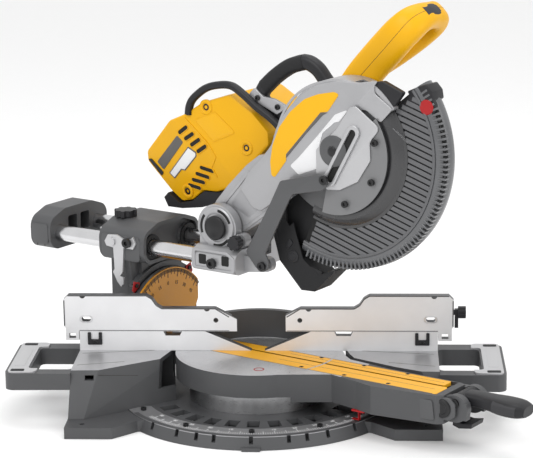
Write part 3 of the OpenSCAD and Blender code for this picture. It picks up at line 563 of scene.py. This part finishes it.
# ---------------------------------------------------------------- lower guard
GUARD_A, GUARD_B = -161, -8      # degrees about the guard axis, at rest
rim_profile = [(186, 19.5), (191, 21.6), (197, 20.5), (204, 16), (209, 9), (211, 0), (209, -9), (204, -14),
               (196, -17.5), (150, -18), (128, -18), (128, -15.5), (150, -15.5), (194, -15), (200, -11),
               (205, -4), (205.5, 3), (201, 11), (195, 15.5), (186, 16)]
guard_shell = turned("guard_rim", rim_profile, GUARD_A, GUARD_B, HS, "guard", guard_rim, seg=120)
# Floor between the ribs in near-black painted shade; the ribs stand on it in the guard's own dark plastic
turned("guard_floor", [(124, 15.5), (190, 15.5), (190, 17.2), (124, 17.2)], GUARD_A, GUARD_B, HS, "guard",
       recess_shade)
ribs = []
RIB_PITCH = 10.2
along, across = (0.42, -0.9075), (0.9075, 0.42)
for k in range(-19, 20):
    run = []
    for t in range(-200, 202, 2):
        a, b = across[0] * k * RIB_PITCH + along[0] * t, across[1] * k * RIB_PITCH + along[1] * t
        r, ang = math.hypot(a, b), math.degrees(math.atan2(b, a))
        ok = 134 < r < 187 and GUARD_A + 3 < ang < GUARD_B - 3
        if ok:
            run.append((GF + a, GZ + b))
        if run and (not ok or t == 200):
            if len(run) > 4:
                ribs.append((run[0], run[-1]))
            run = []
bars("guard_ribs", ribs, RIB_PITCH - 2.5, 16.5, 21.6, HS, "guard", guard_dark, bevel=0.7)
turned("guard_lip", [(183.5, 16), (187.5, 16), (188.5, 21.9), (186, 22.8), (183.5, 21.9)], GUARD_A, GUARD_B,
       HS, "guard", guard_dark)
turned("guard_cone", [(104, 34), (109, 35.6), (115, 35.6), (120, 34.2), (131, 23.2), (136, 22.4), (136, 16),
                      (127, 16), (113, 31.6), (104, 31.6)], GUARD_A, GUARD_B, HS, "guard", cone_black,
       seg=110)
FINS = 62
fin_angles = [GUARD_A + 4 + (GUARD_B - GUARD_A - 8) * i / (FINS - 1) for i in range(FINS)]
bars("guard_fins", spokes((GF, GZ), 195, 209.5, fin_angles), 3.8, 2, 20.8, HS, "guard", guard_rim, bevel=0.6)
turned("guard_rim_shadow", [(196, 17), (203, 17.4), (207.6, 11), (207.6, 6), (196, 12)], GUARD_A + 1,
       GUARD_B - 1, HS, "guard", recess_shade)
nose = [(409, -97), (429, -91), (455, -95), (456, -87), (480, -97), (492, -104), (491, -120), (481, -133),
        (468, -122), (448, -117), (412, -108)]
plate("guard_nose", fillet(nose, 4), -17, 20.5, HS, "guard", black, bevel=2.0)
lathe("guard_roller", [(0, 23), (6, 23), (11.5, 22.6), (13, 21), (13, 16)], HS, "guard", red, at=(465, -131))
lathe("guard_roller_ring", [(0, 19.6), (15.5, 19.6), (17, 18.4), (17, 12)], HS, "guard", black,
      at=(465, -131))

# hub plate of the lower guard
turned("guard_annulus", [(26, 41.2), (107, 41.2), (108.5, 42), (108.5, 43), (26, 43.4)], GUARD_A + 12,
       GUARD_B - 1, HS, "guard", annulus_grey, seg=90)
# Full dark disc of the guard's flange; besides the part itself it is painted shadow in the gap where the
# upper guard wall is cut away
plate("guard_flange", [circle(GF, GZ, 112, 96)], 31.6, 34.8, HS, "guard", dark_smooth, bevel=0.6)
lathe("guard_core", [(0, 45), (25, 45), (25, 31.6), (0, 31.6)], HS, "guard", plate_silver, at=(GF, GZ))
hub_outline = [(226, -104), (232, -70), (262, -42), (320, -46), (366, -38), (377, -44), (384, -97),
               (379, -103), (352, -106), (330, -128), (284, -136), (246, -122)]
hub = plate("guard_hub_plate", [fillet(hub_outline, 9)], 43.2, 46.4, HS, "guard", hub_silver, bevel=1.0)
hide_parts("lower_guard")
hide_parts("guard_hub")
lathe("guard_hub_disc", [(0, 49.6), (9, 49.6), (10, 50.6), (21, 50.6), (27, 48.6), (27.5, 44)], HS, "guard",
      dark_smooth, at=(287, -68))
lathe("guard_hub_cap", [(0, 51.8), (6.5, 51.8), (8, 51), (8, 49)], HS, "guard", screw_black, at=(287, -68))


def stadium(p, q, r, n=16):
    ang = math.degrees(math.atan2(q[1] - p[1], q[0] - p[0]))
    return circle(q[0], q[1], r, n, ang - 90, ang + 90) + circle(p[0], p[1], r, n, ang + 90, ang + 270)


plate("guard_slot_bar", [stadium((246, -97), (342, -73), 12.5), stadium((248, -96.5), (340, -73.5), 6.5)],
      46.2, 51.5, HS, "guard", hub_silver, bevel=1.2)
# Near-black painted shade on the floor of the slot
plate("guard_slot_floor", [stadium((248, -96.5), (340, -73.5), 7)], 45.8, 47.0, HS, "guard", recess_shade,
      bevel=0.2)

# ---------------------------------------------------------------- upper guard and arm
cover = [(126, 27), (159, 25), (192, 27), (224, 41), (259, 47), (300, 47), (340, 36), (374, 14), (408, -20),
         (437, -43), (426, -44), (417, -52), (424, -95), (389, -95), (383, -60), (372, -52), (330, -50),
         (290, -42), (255, -62), (236, -84), (206, -86), (176, -60), (147, -41), (127, -47), (88, -38),
         (78, -23), (84, 20)]
cover_soft = fillet(cover, [6, 14, 30, 30, 60, 60, 60, 60, 60, 5, 5, 10, 5, 6, 20, 20, 20, 20, 20, 20, 20,
                            20, 12, 10, 8, 8, 10])
plate("upper_guard_cover", [cover_soft], 36.4, 39.8, HS, "head", silver, bevel=1.6)
wall = within(dense([(150, 38), (192, 27), (224, 41), (259, 47), (300, 47), (340, 36), (374, 14), (400, -20),
                     (404, -60), (372, -50), (330, -48), (290, -40), (255, -60), (236, -82), (206, -84),
                     (176, -60), (150, -44)], 5), (GF, GZ), 110)
arm_outline = [(-14, 34), (20, 42), (60, 44), (118, 42), (152, 36), (172, 20), (172, -70), (150, -44),
               (126, -50), (90, -56), (30, -40), (0, -34)]
arm = plate("arm_beam", [fillet(arm_outline, 6), circle(0, 0, 26, 40)], -30, 30, HS, "head", silver,
            bevel=2.5)
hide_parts("head_arm")
lathe("arm_hub", [(19, 33.5), (34, 33.5), (36, 32), (36, -32), (34, -33.5), (19, -33.5)], HS, "head", silver,
      at=(0, 0))
plate("upper_guard_wall", [wall], 27.2, 30.8, HS, "head", silver, bevel=0.6)
plate("upper_guard_back", [[(GF, GZ)] + circle(GF, GZ, 123, 60, -8, 170)], -34.4, -31, HS, "head", silver,
      bevel=0.6)
turned("upper_guard_lip", [(119, 34.8), (123.4, 34.8), (123.4, 36.6), (119, 36.6)], -8, 160, HS, "head",
       silver, seg=60)
turned("upper_guard_slope", [(119.8, 13), (123.4, 13), (123.2, 17.5), (112, 30), (107, 30), (119.8, 16.4)],
       -8, 160, HS, "head", silver, seg=60)
for k, (a0, a1, n0, n1) in enumerate([(-8, 160, -31.4, -13), (31, 97, -13, 13)]):
    turned("upper_guard_rim_%d" % k, [(119.8, n0), (123.4, n0), (123.4, n1), (119.8, n1)], a0, a1, HS,
           "head", silver, seg=60)
turned("upper_guard_skirt", [(137.5, 23.6), (147, 23.6), (148, 30), (146, 37), (137.5, 37)], -11, 14, HS,
       "head", silver, seg=30)
step = [(153, -10), (169, 8), (195, 25), (229, 37), (267, 40), (305, 35), (332, 22), (359, 3), (364, -7),
        (324, -12), (314, -4), (204, -6), (196, -13), (156, -17)]
plate("crescent", [fillet(step, [6, 12, 30, 30, 40, 30, 30, 14, 5, 8, 8, 6, 6, 6])], 39.2, 40.5, HS, "head",
      yellow_print, bevel=0.35)
plate("crescent_shade", [[(200, -9.5), (205, -5), (313, -3), (323, -12.5), (312, -9), (260, -8)]], 39.4,
      40.9, HS, "head", grey_ink_and_shade, bevel=0.2)
# Lighter sheet on the guard cover: painted highlight where its flat face catches the light
panel = [(362, -38), (332, -25), (279, -26), (221, -26), (196, -24), (198, -47), (246, -70), (250, -62),
         (269, -40), (290, -30), (322, -34), (329, -39)]
plate("painted_highlight_panel", [fillet(panel, 4)], 39.2, 40.6, HS, "head", highlight_silver, bevel=0.5)
front = [(417, -38), (431, -40), (442, -49), (457, -89), (425, -93), (410, -47)]
plate("front_cover", [fillet(front, 4)], 23.8, 36, HS, "head", black, bevel=1.6)
plate("arm_cover_post", [fillet([(92, 18), (150, 24), (146, -38), (96, -34)], 6)], 29.6, 37, HS, "head",
      silver, bevel=1.0)
lathe("arm_boss", [(0, 35.6), (11, 35.6), (13, 34.4), (13, 30)], HS, "head", silver, at=(150, -44))
plate("arm_rib_upper", [stadium((4, 26), (112, 30), 3.4)], 29.6, 31.6, HS, "head", silver, bevel=0.8)
plate("arm_rib_lower", [stadium((24, -32), (96, -46), 3.4)], 29.6, 31.6, HS, "head", silver, bevel=0.8)
plate("arm_recess", [fillet([(40, 18), (96, 20), (84, -30), (52, -26)], 8)], 29.7, 30.3, HS, "head",
      scale_steel, bevel=0.1)

# shroud details
lathe("shroud_boss", [(0, 29.2), (6, 29.2), (7, 28), (10, 28), (11, 27), (11, 24)], HS, "head", black,
      at=(72, -134))
plate("shroud_catch", [fillet([(74, -119), (90, -117), (91, -107), (75, -109)], 2)], 25, 28, HS, "head",
      black, bevel=0.6)
plate("shroud_panel", [fillet([(134, -53), (80, -64), (46, -120), (41, -150), (44, -173), (62, -190),
                               (100, -194), (80, -158), (84, -135), (86, -99), (112, -75)], 4)], 18.6, 25.6,
      HS, "head", rubber, bevel=1.2)
plate("blade_cowl", [fillet([(96, -62), (128, -54), (176, -64), (214, -84), (214, -150), (160, -172),
                             (104, -160), (86, -110)], 6)], 4, 10, HS, "head", rubber, bevel=1.2)
plate("shroud_edge", [fillet([(62, -94), (81, -66), (134, -53), (132, -60), (85, -72), (66, -99)], 2)], 22,
      27.4, HS, "head", rubber, bevel=0.8)

# ---------------------------------------------------------------- motor
plan = [(-104, 150), (-104, 225), (-90, 238), (5, 235), (41, 218.6), (42, 218), (90, 205), (148, 173),
        (161, 116), (161, 70), (145, 53), (42, 53), (41, 53), (17, 58), (-15, 75), (-39, 98), (-74, 104),
        (-99, 120)]
rad = [10, 10, 14, 14, 0, 0, 20, 18, 24, 12, 10, 0, 0, 14, 14, 14, 10, 12]


MOTOR_NEAR = -27             # level of the motor's near face
MOTOR_BEND, MOTOR_SLANT = 41, 0.165      # rearward of this place the near face slants away


def motor_shell():
    """Moulded motor housing: its outline drawn in at both ends, with a groove where the halves meet."""
    loop = []
    for i, p in enumerate(plan):
        if rad[i]:
            loop += fillet([plan[i - 1], p, plan[(i + 1) % len(plan)]], [0, rad[i], 0])[1:-1]
        else:
            loop.append(p)
    cx, cy = 30, 145

    def pull(p, s):
        return cx + (p[0] - cx) * s, cy + (p[1] - cy) * s

    def near(p):
        return MOTOR_NEAR - MOTOR_SLANT * max(0.0, MOTOR_BEND - p[0])

    rings = [[(*pull(p, 0.955), near(p)) for p in loop], [(*pull(p, 0.985), near(p) - 1.6) for p in loop],
             [(*p, near(p) - 6.5) for p in loop], [(*p, -92) for p in loop],
             [(*pull(p, 0.985), -94) for p in loop], [(*pull(p, 0.985), -98) for p in loop],
             [(*p, -100) for p in loop], [(*p, -180) for p in loop], [(*pull(p, 0.97), -191) for p in loop],
             [(*pull(p, 0.90), -196) for p in loop]]
    k = len(loop)
    verts = [v for ring in rings for v in ring]
    faces = [(r * k + i, r * k + (i + 1) % k, (r + 1) * k + (i + 1) % k, (r + 1) * k + i)
             for r in range(len(rings) - 1) for i in range(k)]
    left = [i for i, p in enumerate(loop) if p[0] <= MOTOR_BEND + 0.01]
    right = [i for i, p in enumerate(loop) if p[0] >= MOTOR_BEND - 0.01]
    faces += [tuple(left), tuple(right), tuple(reversed(range((len(rings) - 1) * k, len(rings) * k)))]
    return mesh_of(verts, faces)


motor = put(motor_shell(), "motor_shell", HS, "head", yellow, smooth=28)
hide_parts("motor_housing")
SLOPE = HS @ Matrix(((1, 0, 0, 0), (0, 1, 0, 0), (MOTOR_SLANT, 0, 1, MOTOR_NEAR - MOTOR_SLANT * MOTOR_BEND),
                     (0, 0, 0, 1)))
NEAR = HS @ Matrix.Translation((0, 0, MOTOR_NEAR))
for k, (a, b) in enumerate([((8, 203), (29, 198)), ((10, 186), (31, 180)), ((12, 169), (34, 163)),
                            ((14, 151), (36, 145)), ((-5, 127), (11, 105)), ((-23, 127), (-7, 105)),
                            ((-40, 126), (-24, 106)), ((-56, 126), (-41, 106))]):
    # Near-black sheet in each vent: painted shade in the opening
    plate("vent_%d" % k, [stadium(a, b, 3.6, 8)], -2, 0.35, SLOPE, "head", recess_shade, bevel=0.1)
    plate("vent_lip_%d" % k, [stadium(a, b, 5.2, 8), stadium(a, b, 3.7, 8)], -1, 1.2, SLOPE, "head", yellow,
          bevel=0.45)
plate("motor_label", [fillet([(-76, 172), (0, 171), (6, 153), (1, 150), (-41, 152), (-47, 159), (-74, 160)],
                             2)], -0.5, 0.6, SLOPE, "head", label_white, bevel=0.15)
plate("motor_label_edge", [fillet([(-78, 174), (2, 173), (9, 153), (3, 148), (-42, 150), (-48, 157),
                                   (-76, 158)], 2)], -0.6, 0.35, SLOPE, "head", grey_ink_and_shade, bevel=0.1)
plate("motor_badge", [fillet([(-98, 226), (-91, 220), (-89, 184), (-98, 183)], 2)], -1.2, 0.8, SLOPE, "head",
      black, bevel=0.3)
plate("motor_stripe", [fillet([(-84, 207), (-2, 204), (-1, 186), (-84, 187)], 3)], -0.8, 0.35, SLOPE, "head",
      grey_ink_and_shade, bevel=0.1)
plate("rating_panel", [fillet([(55, 193), (99, 172), (105, 119), (58, 141)], 4)], -0.6, 0.45, NEAR, "head",
      yellow_print, bevel=0.15)
plate("rating_panel_edge", [fillet([(53, 196), (101, 174), (107, 116), (56, 138)], 5),
                            fillet([(55, 193), (99, 172), (105, 119), (58, 141)], 4)], -0.6, 0.8, NEAR,
      "head", yellow, bevel=0.3)
bosses = [(92, 192), (104, 82)]
for k, (a, b) in enumerate(bosses):
    lathe("motor_boss_%d" % k, [(7.5, -2.4), (7.5, 0.8), (9, 1.8), (12.5, 1.8), (14, 0.6), (14, -3)], NEAR,
          "head", yellow, at=(a, b), seg=40)
screws("motor_screws", [(a, b, -2.5) for a, b in bosses], 6.4, 3.0, NEAR, "head", screw_black, base=-1.5)
lathe("motor_boss_2", [(7.5, -2), (7.5, 1.2), (9, 2.2), (12, 2.2), (13.5, 1), (13.5, -3)], SLOPE, "head",
      yellow, at=(-70, 122), seg=40)
screws("motor_screw_rear", [(-70, 122, -2)], 6.4, 3.0, SLOPE, "head", screw_black, base=-1.5)
put(joined([bar((41, 212), (45, 147), 2.4, -1.5, 1.2), bar((45, 147), (40, 116), 2.4, -1.5, 1.2),
            bar((40, 116), (15, 110), 2.4, -1.5, 1.2), bar((15, 110), (11, 90), 2.4, -1.5, 1.2)]),
    "motor_ridge", SLOPE, "head", yellow, bevel=0.8)
# Rear vents: near-black sheets, painted shade in the openings
for k in range(6):
    f0 = -70 + 22 * k
    plate("rear_vent_%d" % k, [stadium((f0, 120), (f0 + 6, 176), 3.4, 8)], -196.6, -195.2, HS, "head",
          recess_shade, bevel=0.1)
# Top vents: near-black bars, painted shade in the openings
top_vents = []
for k in range(7):
    n0 = -110 - 10 * k
    top_vents.append(bar((-70, n0), (-12, n0), 4.6, 236.4, 237.6))
put(joined(top_vents), "motor_top_vents", HEAD @ PLAN, "head", recess_shade)

# ---------------------------------------------------------------- handles
def skin(name, path, half_w, half_h, m, body, mat, plane="n", seg=28, power=2.8, n=7, **k):
    """Oval bar along a path of (f, z, n) points; half_w lies in the bend plane, half_h across it."""
    pts = smooth_path(path, n)
    ws = smooth_path([(w, h, 0) for w, h in zip(half_w, half_h)], n)
    across = Vector((0, 1, 0)) if plane == "n" else Vector((0, 0, 1))
    st = []
    for i, p in enumerate(pts):
        d = (pts[min(i + 1, len(pts) - 1)] - pts[max(i - 1, 0)]).normalized()
        side = d.cross(across).normalized()
        up_ = side.cross(d).normalized()
        st.append((p, side * ws[i].x, up_ * ws[i].y))
    return sweep(name, st, m, body, mat, seg=seg, power=power, **k)


d_path = [(330, 13, -50), (366, 12, -49), (412, 11, -46), (452, 9, -42), (484, 8, -41), (508, 8, -52),
          (517, 9, -76), (518, 9, -100), (514, 9, -124), (496, 9, -137), (470, 9, -134), (436, 11, -120),
          (398, 14, -99), (352, 19, -74)]
d_w = [15, 14, 13, 14, 16, 19, 19, 18, 19, 17, 13, 13, 13, 15]
d_h = [26, 31, 32, 32, 31, 29, 25, 23, 24, 25, 24, 23, 21, 17]
loop = skin("grip_loop", d_path, d_w, d_h, HS, "head", yellow)
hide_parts("d_handle_top", "d_handle_bottom")
skin("grip_parting", [(f, 9.6 if i > 3 else z - 1, n) for i, (f, z, n) in enumerate(d_path[1:-1])],
     [w + 0.25 for w in d_w[1:-1]], [0.5] * 12, HS, "head", black, power=6)
plate("grip_root", [fillet([(318, 36), (352, 34), (358, 8), (350, 2), (322, 4)], 6)], -84, -36, HS, "head",
      yellow, bevel=4)
plate("grip_web", [fillet([(352, 28), (420, 20), (424, 2), (352, 6)], 6)], -90, -56, HS, "head", yellow,
      bevel=3)
skin("grip_pad", [(517, 9, -70), (519, 9, -90), (517, 9, -112)], [18.6, 18.4, 18.6], [19, 20, 19], HS,
     "head", grip, n=6)

top_path = [(196, 74, -47), (186, 104, -47), (186, 128, -47), (206, 136, -47), (238, 133, -47),
            (274, 124, -47), (302, 108, -47), (312, 84, -47), (310, 58, -47), (306, 34, -47)]
top = skin("carry_bar", top_path, [11, 12, 13, 13.5, 13.5, 13.5, 13.5, 13, 13, 15],
           [12, 12, 12.5, 13, 13, 13, 13, 12.5, 12, 12], HS, "head", black, plane="z")
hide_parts("top_handle")
skin("carry_grip", top_path[3:7], [14.2] * 4, [13.6] * 4, HS, "head", rubber, plane="z")
plate("carry_foot", [fillet([(176, 146), (183, 116), (196, 80), (224, 74), (212, 104), (198, 122),
                             (196, 146)], 5)], -38, -31, HS, "head", silver, bevel=1.2)
screws("carry_screws", [(188, 128, -31.2), (208, 88, -31.2)], 5.2, 3.4, HS, "head", screw_black, base=-1)
plate("carry_front_foot", [fillet([(292, 52), (326, 50), (330, 24), (288, 22)], 5)], -60, -34.8, HS, "head",
      black, bevel=2)

roll_path = [(52, 210, -28), (66, 219, -28), (84, 222, -28), (116, 216, -28), (142, 201, -28),
             (163, 180, -28), (171, 152, -28), (176, 118, -28), (184, 84, -28), (186, 58, -28),
             (178, 32, -28)]
roll = skin("roll_hoop", roll_path, [7] * 11, [7.5] * 11, HS, "head", black, plane="z", power=2.4)
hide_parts("roll_bar")
plate("roll_foot", [fillet([(164, 44), (200, 44), (196, 16), (160, 18)], 6)], -36, -20, HS, "head", black,
      bevel=2)

# ---------------------------------------------------------------- table
AP = ARM @ PLAN
bars("kerf_slot", [((-70, 0), (386, 0))], 42, 70.3, 71.4, AP, "table", slot_red)
kerf_edges = [bar((-76, n), (392, n), 1.2, DECK - 0.5, DECK - 0.05) for n in (45.4, -30.4)]
kerf_edges += [bar((60, n), (end, n), 0.9, DECK - 0.3, DECK - 0.1) for n, end in ((22, 384), (-17, 380))]
put(joined(kerf_edges), "kerf_lines", AP, "table", grey_ink_and_shade)
screws("kerf_caps", [(f, n, DECK - 2.1) for f in (120, 210, 300) for n in (-27, 38)], 4.4, 1.9, AP, "table",
       screw_black, base=-1)
turned("table_ring", [(142, DECK - 0.6), (146, DECK - 0.6), (146, DECK - 0.05), (142, DECK - 0.05)], 210,
       500, AP, "table", steel, at=(0, 0))
for k, (f, n) in enumerate([(66, 92), (92, -76)]):
    plate("table_mark_%d" % k, [circle(f, n, 9.5, 32), circle(f, n, 7.4, 32)], DECK - 0.4, DECK + 0.15, AP,
          "table", red, bevel=0.1)
plate("arm_cheek", [fillet([(300, 92), (398, 92), (402, 58), (372, 56), (306, 62)], 5)], 54.5, 56.6, AS,
      "table", dark_smooth, bevel=0.8)
plate("arm_end_block", [fillet([(388, 97), (426, 97), (436, 88), (436, 66), (424, 58), (388, 58)], 5)], 39.5,
      46, AS, "table", dark_smooth, bevel=1.4)
lathe("arm_end_disc", [(0, 48.4), (9, 48.4), (10, 49.4), (15, 49.4), (16.5, 48), (16.5, 45)], AS, "table",
      screw_black, at=(412, 78))
screws("arm_end_screw", [(394, 90, 46)], 3.2, 1.6, AS, "table", screw_black, base=-1)

# mitre lock lever, a flat paddle with a soft grip
paddle = skin("paddle", [(428, 88, 0), (456, 90, 0), (480, 89, 0), (508, 87, 0), (536, 86, 0), (552, 85, 0)],
              [20, 19, 21, 25, 24, 18], [13, 12, 12, 14, 13.5, 9], AS, "mitre_lever", black, power=3.4)
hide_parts("mitre_lock_lever")
skin("paddle_grip", [(494, 88, 0), (516, 87, 0), (538, 86, 0)], [25.6, 26, 24.6], [12, 12.6, 12], AS,
     "mitre_lever", grip, power=3.4)
lathe("paddle_hub", [(0, 23.6), (12, 23.6), (14, 22), (14, -22), (12, -23.6), (0, -23.6)], AS,
      "mitre_lever", black, at=(432, 88))

# ---------------------------------------------------------------- scales
ticks = []
for d in range(-52, 59):
    r0, w = (222, 1.1) if d % 5 == 0 else (228, 0.7)
    ticks.append(bar(*spokes((0, 0), r0, 236, [d - 90])[0], w, 22.4, 22.8))
put(joined(ticks), "mitre_ticks", TOP, "base", label_white)
for d in range(-50, 60, 10):
    m = Matrix.Rotation(math.radians(d), 4, "Z") @ Matrix.Translation((0, -214, 22.6))
    number("mitre_number_%d" % (d + 50), str(abs(d)), 9, m, "base", label_white)
turned("mitre_scale_edge", [(240, 22.3), (247.4, 22.3), (247.4, 23.1), (240, 23.1)], -150, -30, TOP, "base",
       dark_smooth, at=(0, 0), seg=90)
ticks = []
for d in range(-50, 51):
    r0 = 108 if d % 15 == 0 else (113 if d % 5 == 0 else 117)
    ticks.append(bar(*spokes((0, DECK), r0, 124, [90 + d])[0], 1.5 if d % 5 == 0 else 0.8, -203.3, -202.6))
put(joined(ticks), "bevel_ticks", ARM @ CROSS, "table", ink)
for d in (-45, -30, -15, 0, 15, 30, 45):
    m = (ARM @ Matrix.Translation((0, 0, DECK)) @ Matrix.Rotation(math.radians(-d), 4, "Y")
         @ Matrix.Translation((0, 202.7, 97)) @ Matrix.Rotation(math.radians(90), 4, "X"))
    number("bevel_number_%d" % (d + 45), str(abs(d)), 10, m, "table", ink)

# ---------------------------------------------------------------- fences and base
FR = FRONT @ Matrix.Scale(-1, 4, (0, 0, 1))    # (x, z, forward of the fence face)
for side, name in ((-1, "left"), (1, "right")):
    ear = [(side * 284, 112), (side * 284, 135), (side * 290, 135.5), (side * 290, 122), (side * 304, 122),
           (side * 304, 135.5), (side * 310, 135), (side * 310, 112)]
    plate("fence_ear_" + name, [fillet(ear, 2)], 0.2, 3.2, FR, "base", black, bevel=0.6)
    screws("fence_ear_screw_" + name, [(side * 297, 117, 3.0)], 4.2, 2.6, FR, "base", screw_black, base=-1)
    body = "fence_" + name
    top_edge = [(side * 345, 203.6), (side * 202, 203.6), (side * 192, 197.6), (side * 184, 185.6),
                (side * 174, 179.6), (side * 77, 179.6), (side * 52, 164)]
    bars("fence_rail_" + name, zip(top_edge, top_edge[1:]), 2.2, -15.2, 0.5, FR, body, dark_smooth,
         bevel=0.4)
    put(joined([bar((side * 352, 147), (side * 352, 195), 2.4, -15.2, 0.5),
                bar((side * 325, 138.4), (side * 52, 138.4), 1.2, -15.1, 0.3)]), "fence_end_" + name, FR,
        body, dark_smooth, bevel=0.3)
    plate("fence_slot_rim_" + name, [stadium((side * 318, 160), (side * 306, 160), 6.4),
                                     stadium((side * 317, 160), (side * 307, 160), 4.6)], 0.0, 0.9, FR, body,
          steel, bevel=0.2)
    for part, a, b, y0, y1, r, top, mat in (("front", 408, 432, -128, -116, 3, 0.5, rubber),
                                            ("rear", 408, 432, 30, 42, 3, 0.5, rubber),
                                            ("side", 411, 430, -96, 8, 4, 0.4, plate_silver)):
        inset = [(side * a, y0), (side * b, y0), (side * b, y1), (side * a, y1)]
        plate("pad_inset_%s_%s" % (part, name), [fillet(inset, r)], DECK - 0.1, DECK + top, TOP, "base", mat,
              bevel=0.1)
    bars("deck_seam_" + name, [((side * 322, 92), (side * 206, 92))], 0.9, -0.4, 0.0,
         Matrix.Translation((0, -124, 0)) @ FR, "base", ink)
    scribed = [((side * 318, -20), (side * 178, 2)), ((side * 318, -92), (side * 236, -70))]
    bars("deck_scribe_" + name, scribed, 0.8, DECK, DECK + 0.25, TOP, "base", grey_ink_and_shade)

# ---------------------------------------------------------------- carriage and rail housing
lathe("pivot_cap", [(0, 62), (12, 62), (14, 61), (20, 61), (22, 59), (22, 56.2)], AS, "carriage",
      screw_black, at=PIVOT)
lathe("pivot_ring", [(26, 52.1), (26, 54), (28, 55), (36, 55), (38, 53.6), (38, 52.1)], AS, "carriage",
      silver, at=PIVOT)
# Near-black arcs on the pivot ring: painted shade where it is recessed
arcs = []
for a0 in (20, 140, 260):
    arcs.append(turned_mesh([(29.5, 54.8), (34.5, 54.8), (34.5, 55.4), (29.5, 55.4)], a0, a0 + 62, 16,
                            PIVOT))
put(joined(arcs), "pivot_arcs", AS, "carriage", recess_shade)
# Near-black windows in the bracket face: painted shade in the openings
for k, (f, z) in enumerate([(-64, 282), (-14, 284)]):
    plate("bracket_window_%d" % k, [fillet([(f - 8, z - 10), (f + 8, z - 10), (f + 8, z + 8),
                                            (f - 8, z + 8)], 3)], 77.7, 78.3, AS, "carriage", recess_shade,
          bevel=0.1)
plate("bracket_face", [fillet([(-86, 262), (6, 262), (6, 290), (-10, 300), (-86, 300)], 5),
                       fillet([(-80, 267), (0, 267), (0, 288), (-12, 295), (-80, 295)], 4)], 76.8, 79.2, AS,
      "carriage", silver, bevel=0.5)
for k, f in enumerate((-428, -446)):
    bars("cap_seam_%d" % k, [((f, 258), (f, 300))], 1.4, 84, 84.5, AS, "carriage", ink)
plate("cap_badge", [fillet([(-458, 262), (-420, 262), (-420, 300), (-458, 300)], 6)], 84, 84.8, AS,
      "carriage", dark_smooth, bevel=0.3)
plate("housing_panel", [fillet([(-290, 256), (-202, 256), (-202, 302), (-290, 302)], 8)], 83.6, 84.3, AS,
      "bevel", dark_smooth, bevel=0.3)
for k, f in enumerate((-196, -294)):
    seals = [slab([circle(n, 280, 24, 40), circle(n, 280, 16, 40)], f - 1.4, f + 1.8, 0.5)
             for n in (-55, 55)]
    put(joined(seals), "rail_seal_%d" % k, ARM @ CROSS, "bevel", rubber)

# link between bracket and guard
link = [(173, -35), (184, -42), (238, -76), (250, -90), (240, -106), (226, -103), (175, -68), (164, -70),
        (52, -102), (46, -118), (34, -126), (20, -120), (18, -106), (22, -73), (128, -48)]
link_ob = plate("link_plate", [fillet(link, [8, 6, 6, 12, 10, 6, 8, 8, 8, 8, 10, 10, 8, 10, 14])], 56.2,
                60.9, HS, "link", dark_smooth, bevel=1.2)
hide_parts("guard_link")

# ---------------------------------------------------------------- stage
floor = bpy.data.meshes.new("floor")
floor.from_pydata([(-6, -6, 0), (6, -6, 0), (6, 6, 0), (-6, 6, 0)], [], [(0, 1, 2, 3)])
floor_ob = bpy.data.objects.new("floor", floor)
floor_ob.location.z = -0.0005
bpy.context.scene.collection.objects.link(floor_ob)
floor.materials.append(finish_of("floor", (0.93, 0.93, 0.93), rough=0.75, bump=0.02, scale=30, vary=0.01))

world = bpy.data.worlds.new("studio")
bpy.context.scene.world = world
world.use_nodes = True
bg = world.node_tree.nodes["Background"]
bg.inputs["Color"].default_value = (1.0, 1.0, 1.0, 1)
bg.inputs["Strength"].default_value = 0.95


def area(name, where, target, size, power):
    """Square soft light aimed at a point."""
    li = bpy.data.lights.new(name, "AREA")
    li.shape, li.size, li.energy = "SQUARE", size, power
    ob = bpy.data.objects.new(name, li)
    ob.location = where
    ob.rotation_mode = "QUATERNION"
    ob.rotation_quaternion = (Vector(target) - Vector(where)).to_track_quat("-Z", "Y")
    bpy.context.scene.collection.objects.link(ob)


area("key", (-1.6, -2.2, 2.6), (0, 0, 0.35), 1.6, 42)
area("fill", (2.4, -1.8, 1.5), (0, 0, 0.3), 1.8, 16)
area("top", (0.3, 0.3, 2.8), (0, 0, 0.3), 1.8, 22)

CAMERA_AT = (0.21244, -3.65942, 1.20942)
AZIMUTH, PITCH, ROLL = 3.0445, 13.524, -0.7085      # degrees: to the left, down, about the line of sight
LENS = 142.28
cam = bpy.data.cameras.new("camera")
cam.lens, cam.sensor_width, cam.clip_end = LENS, 36.0, 50
cam_ob = bpy.data.objects.new("camera", cam)
bpy.context.scene.collection.objects.link(cam_ob)
az, pitch, roll = map(math.radians, (AZIMUTH, PITCH, ROLL))
ahead = Vector((-math.sin(az) * math.cos(pitch), math.cos(az) * math.cos(pitch), -math.sin(pitch)))
right = Vector((math.cos(az), math.sin(az), 0))
up = right.cross(ahead)
right, up = right * math.cos(roll) + up * math.sin(roll), up * math.cos(roll) - right * math.sin(roll)
turn = Matrix((right, up, -ahead)).transposed().to_4x4()
cam_ob.matrix_world = Matrix.Translation(CAMERA_AT) @ turn
bpy.context.scene.camera = cam_ob
bpy.context.scene.view_settings.view_transform = "Standard"
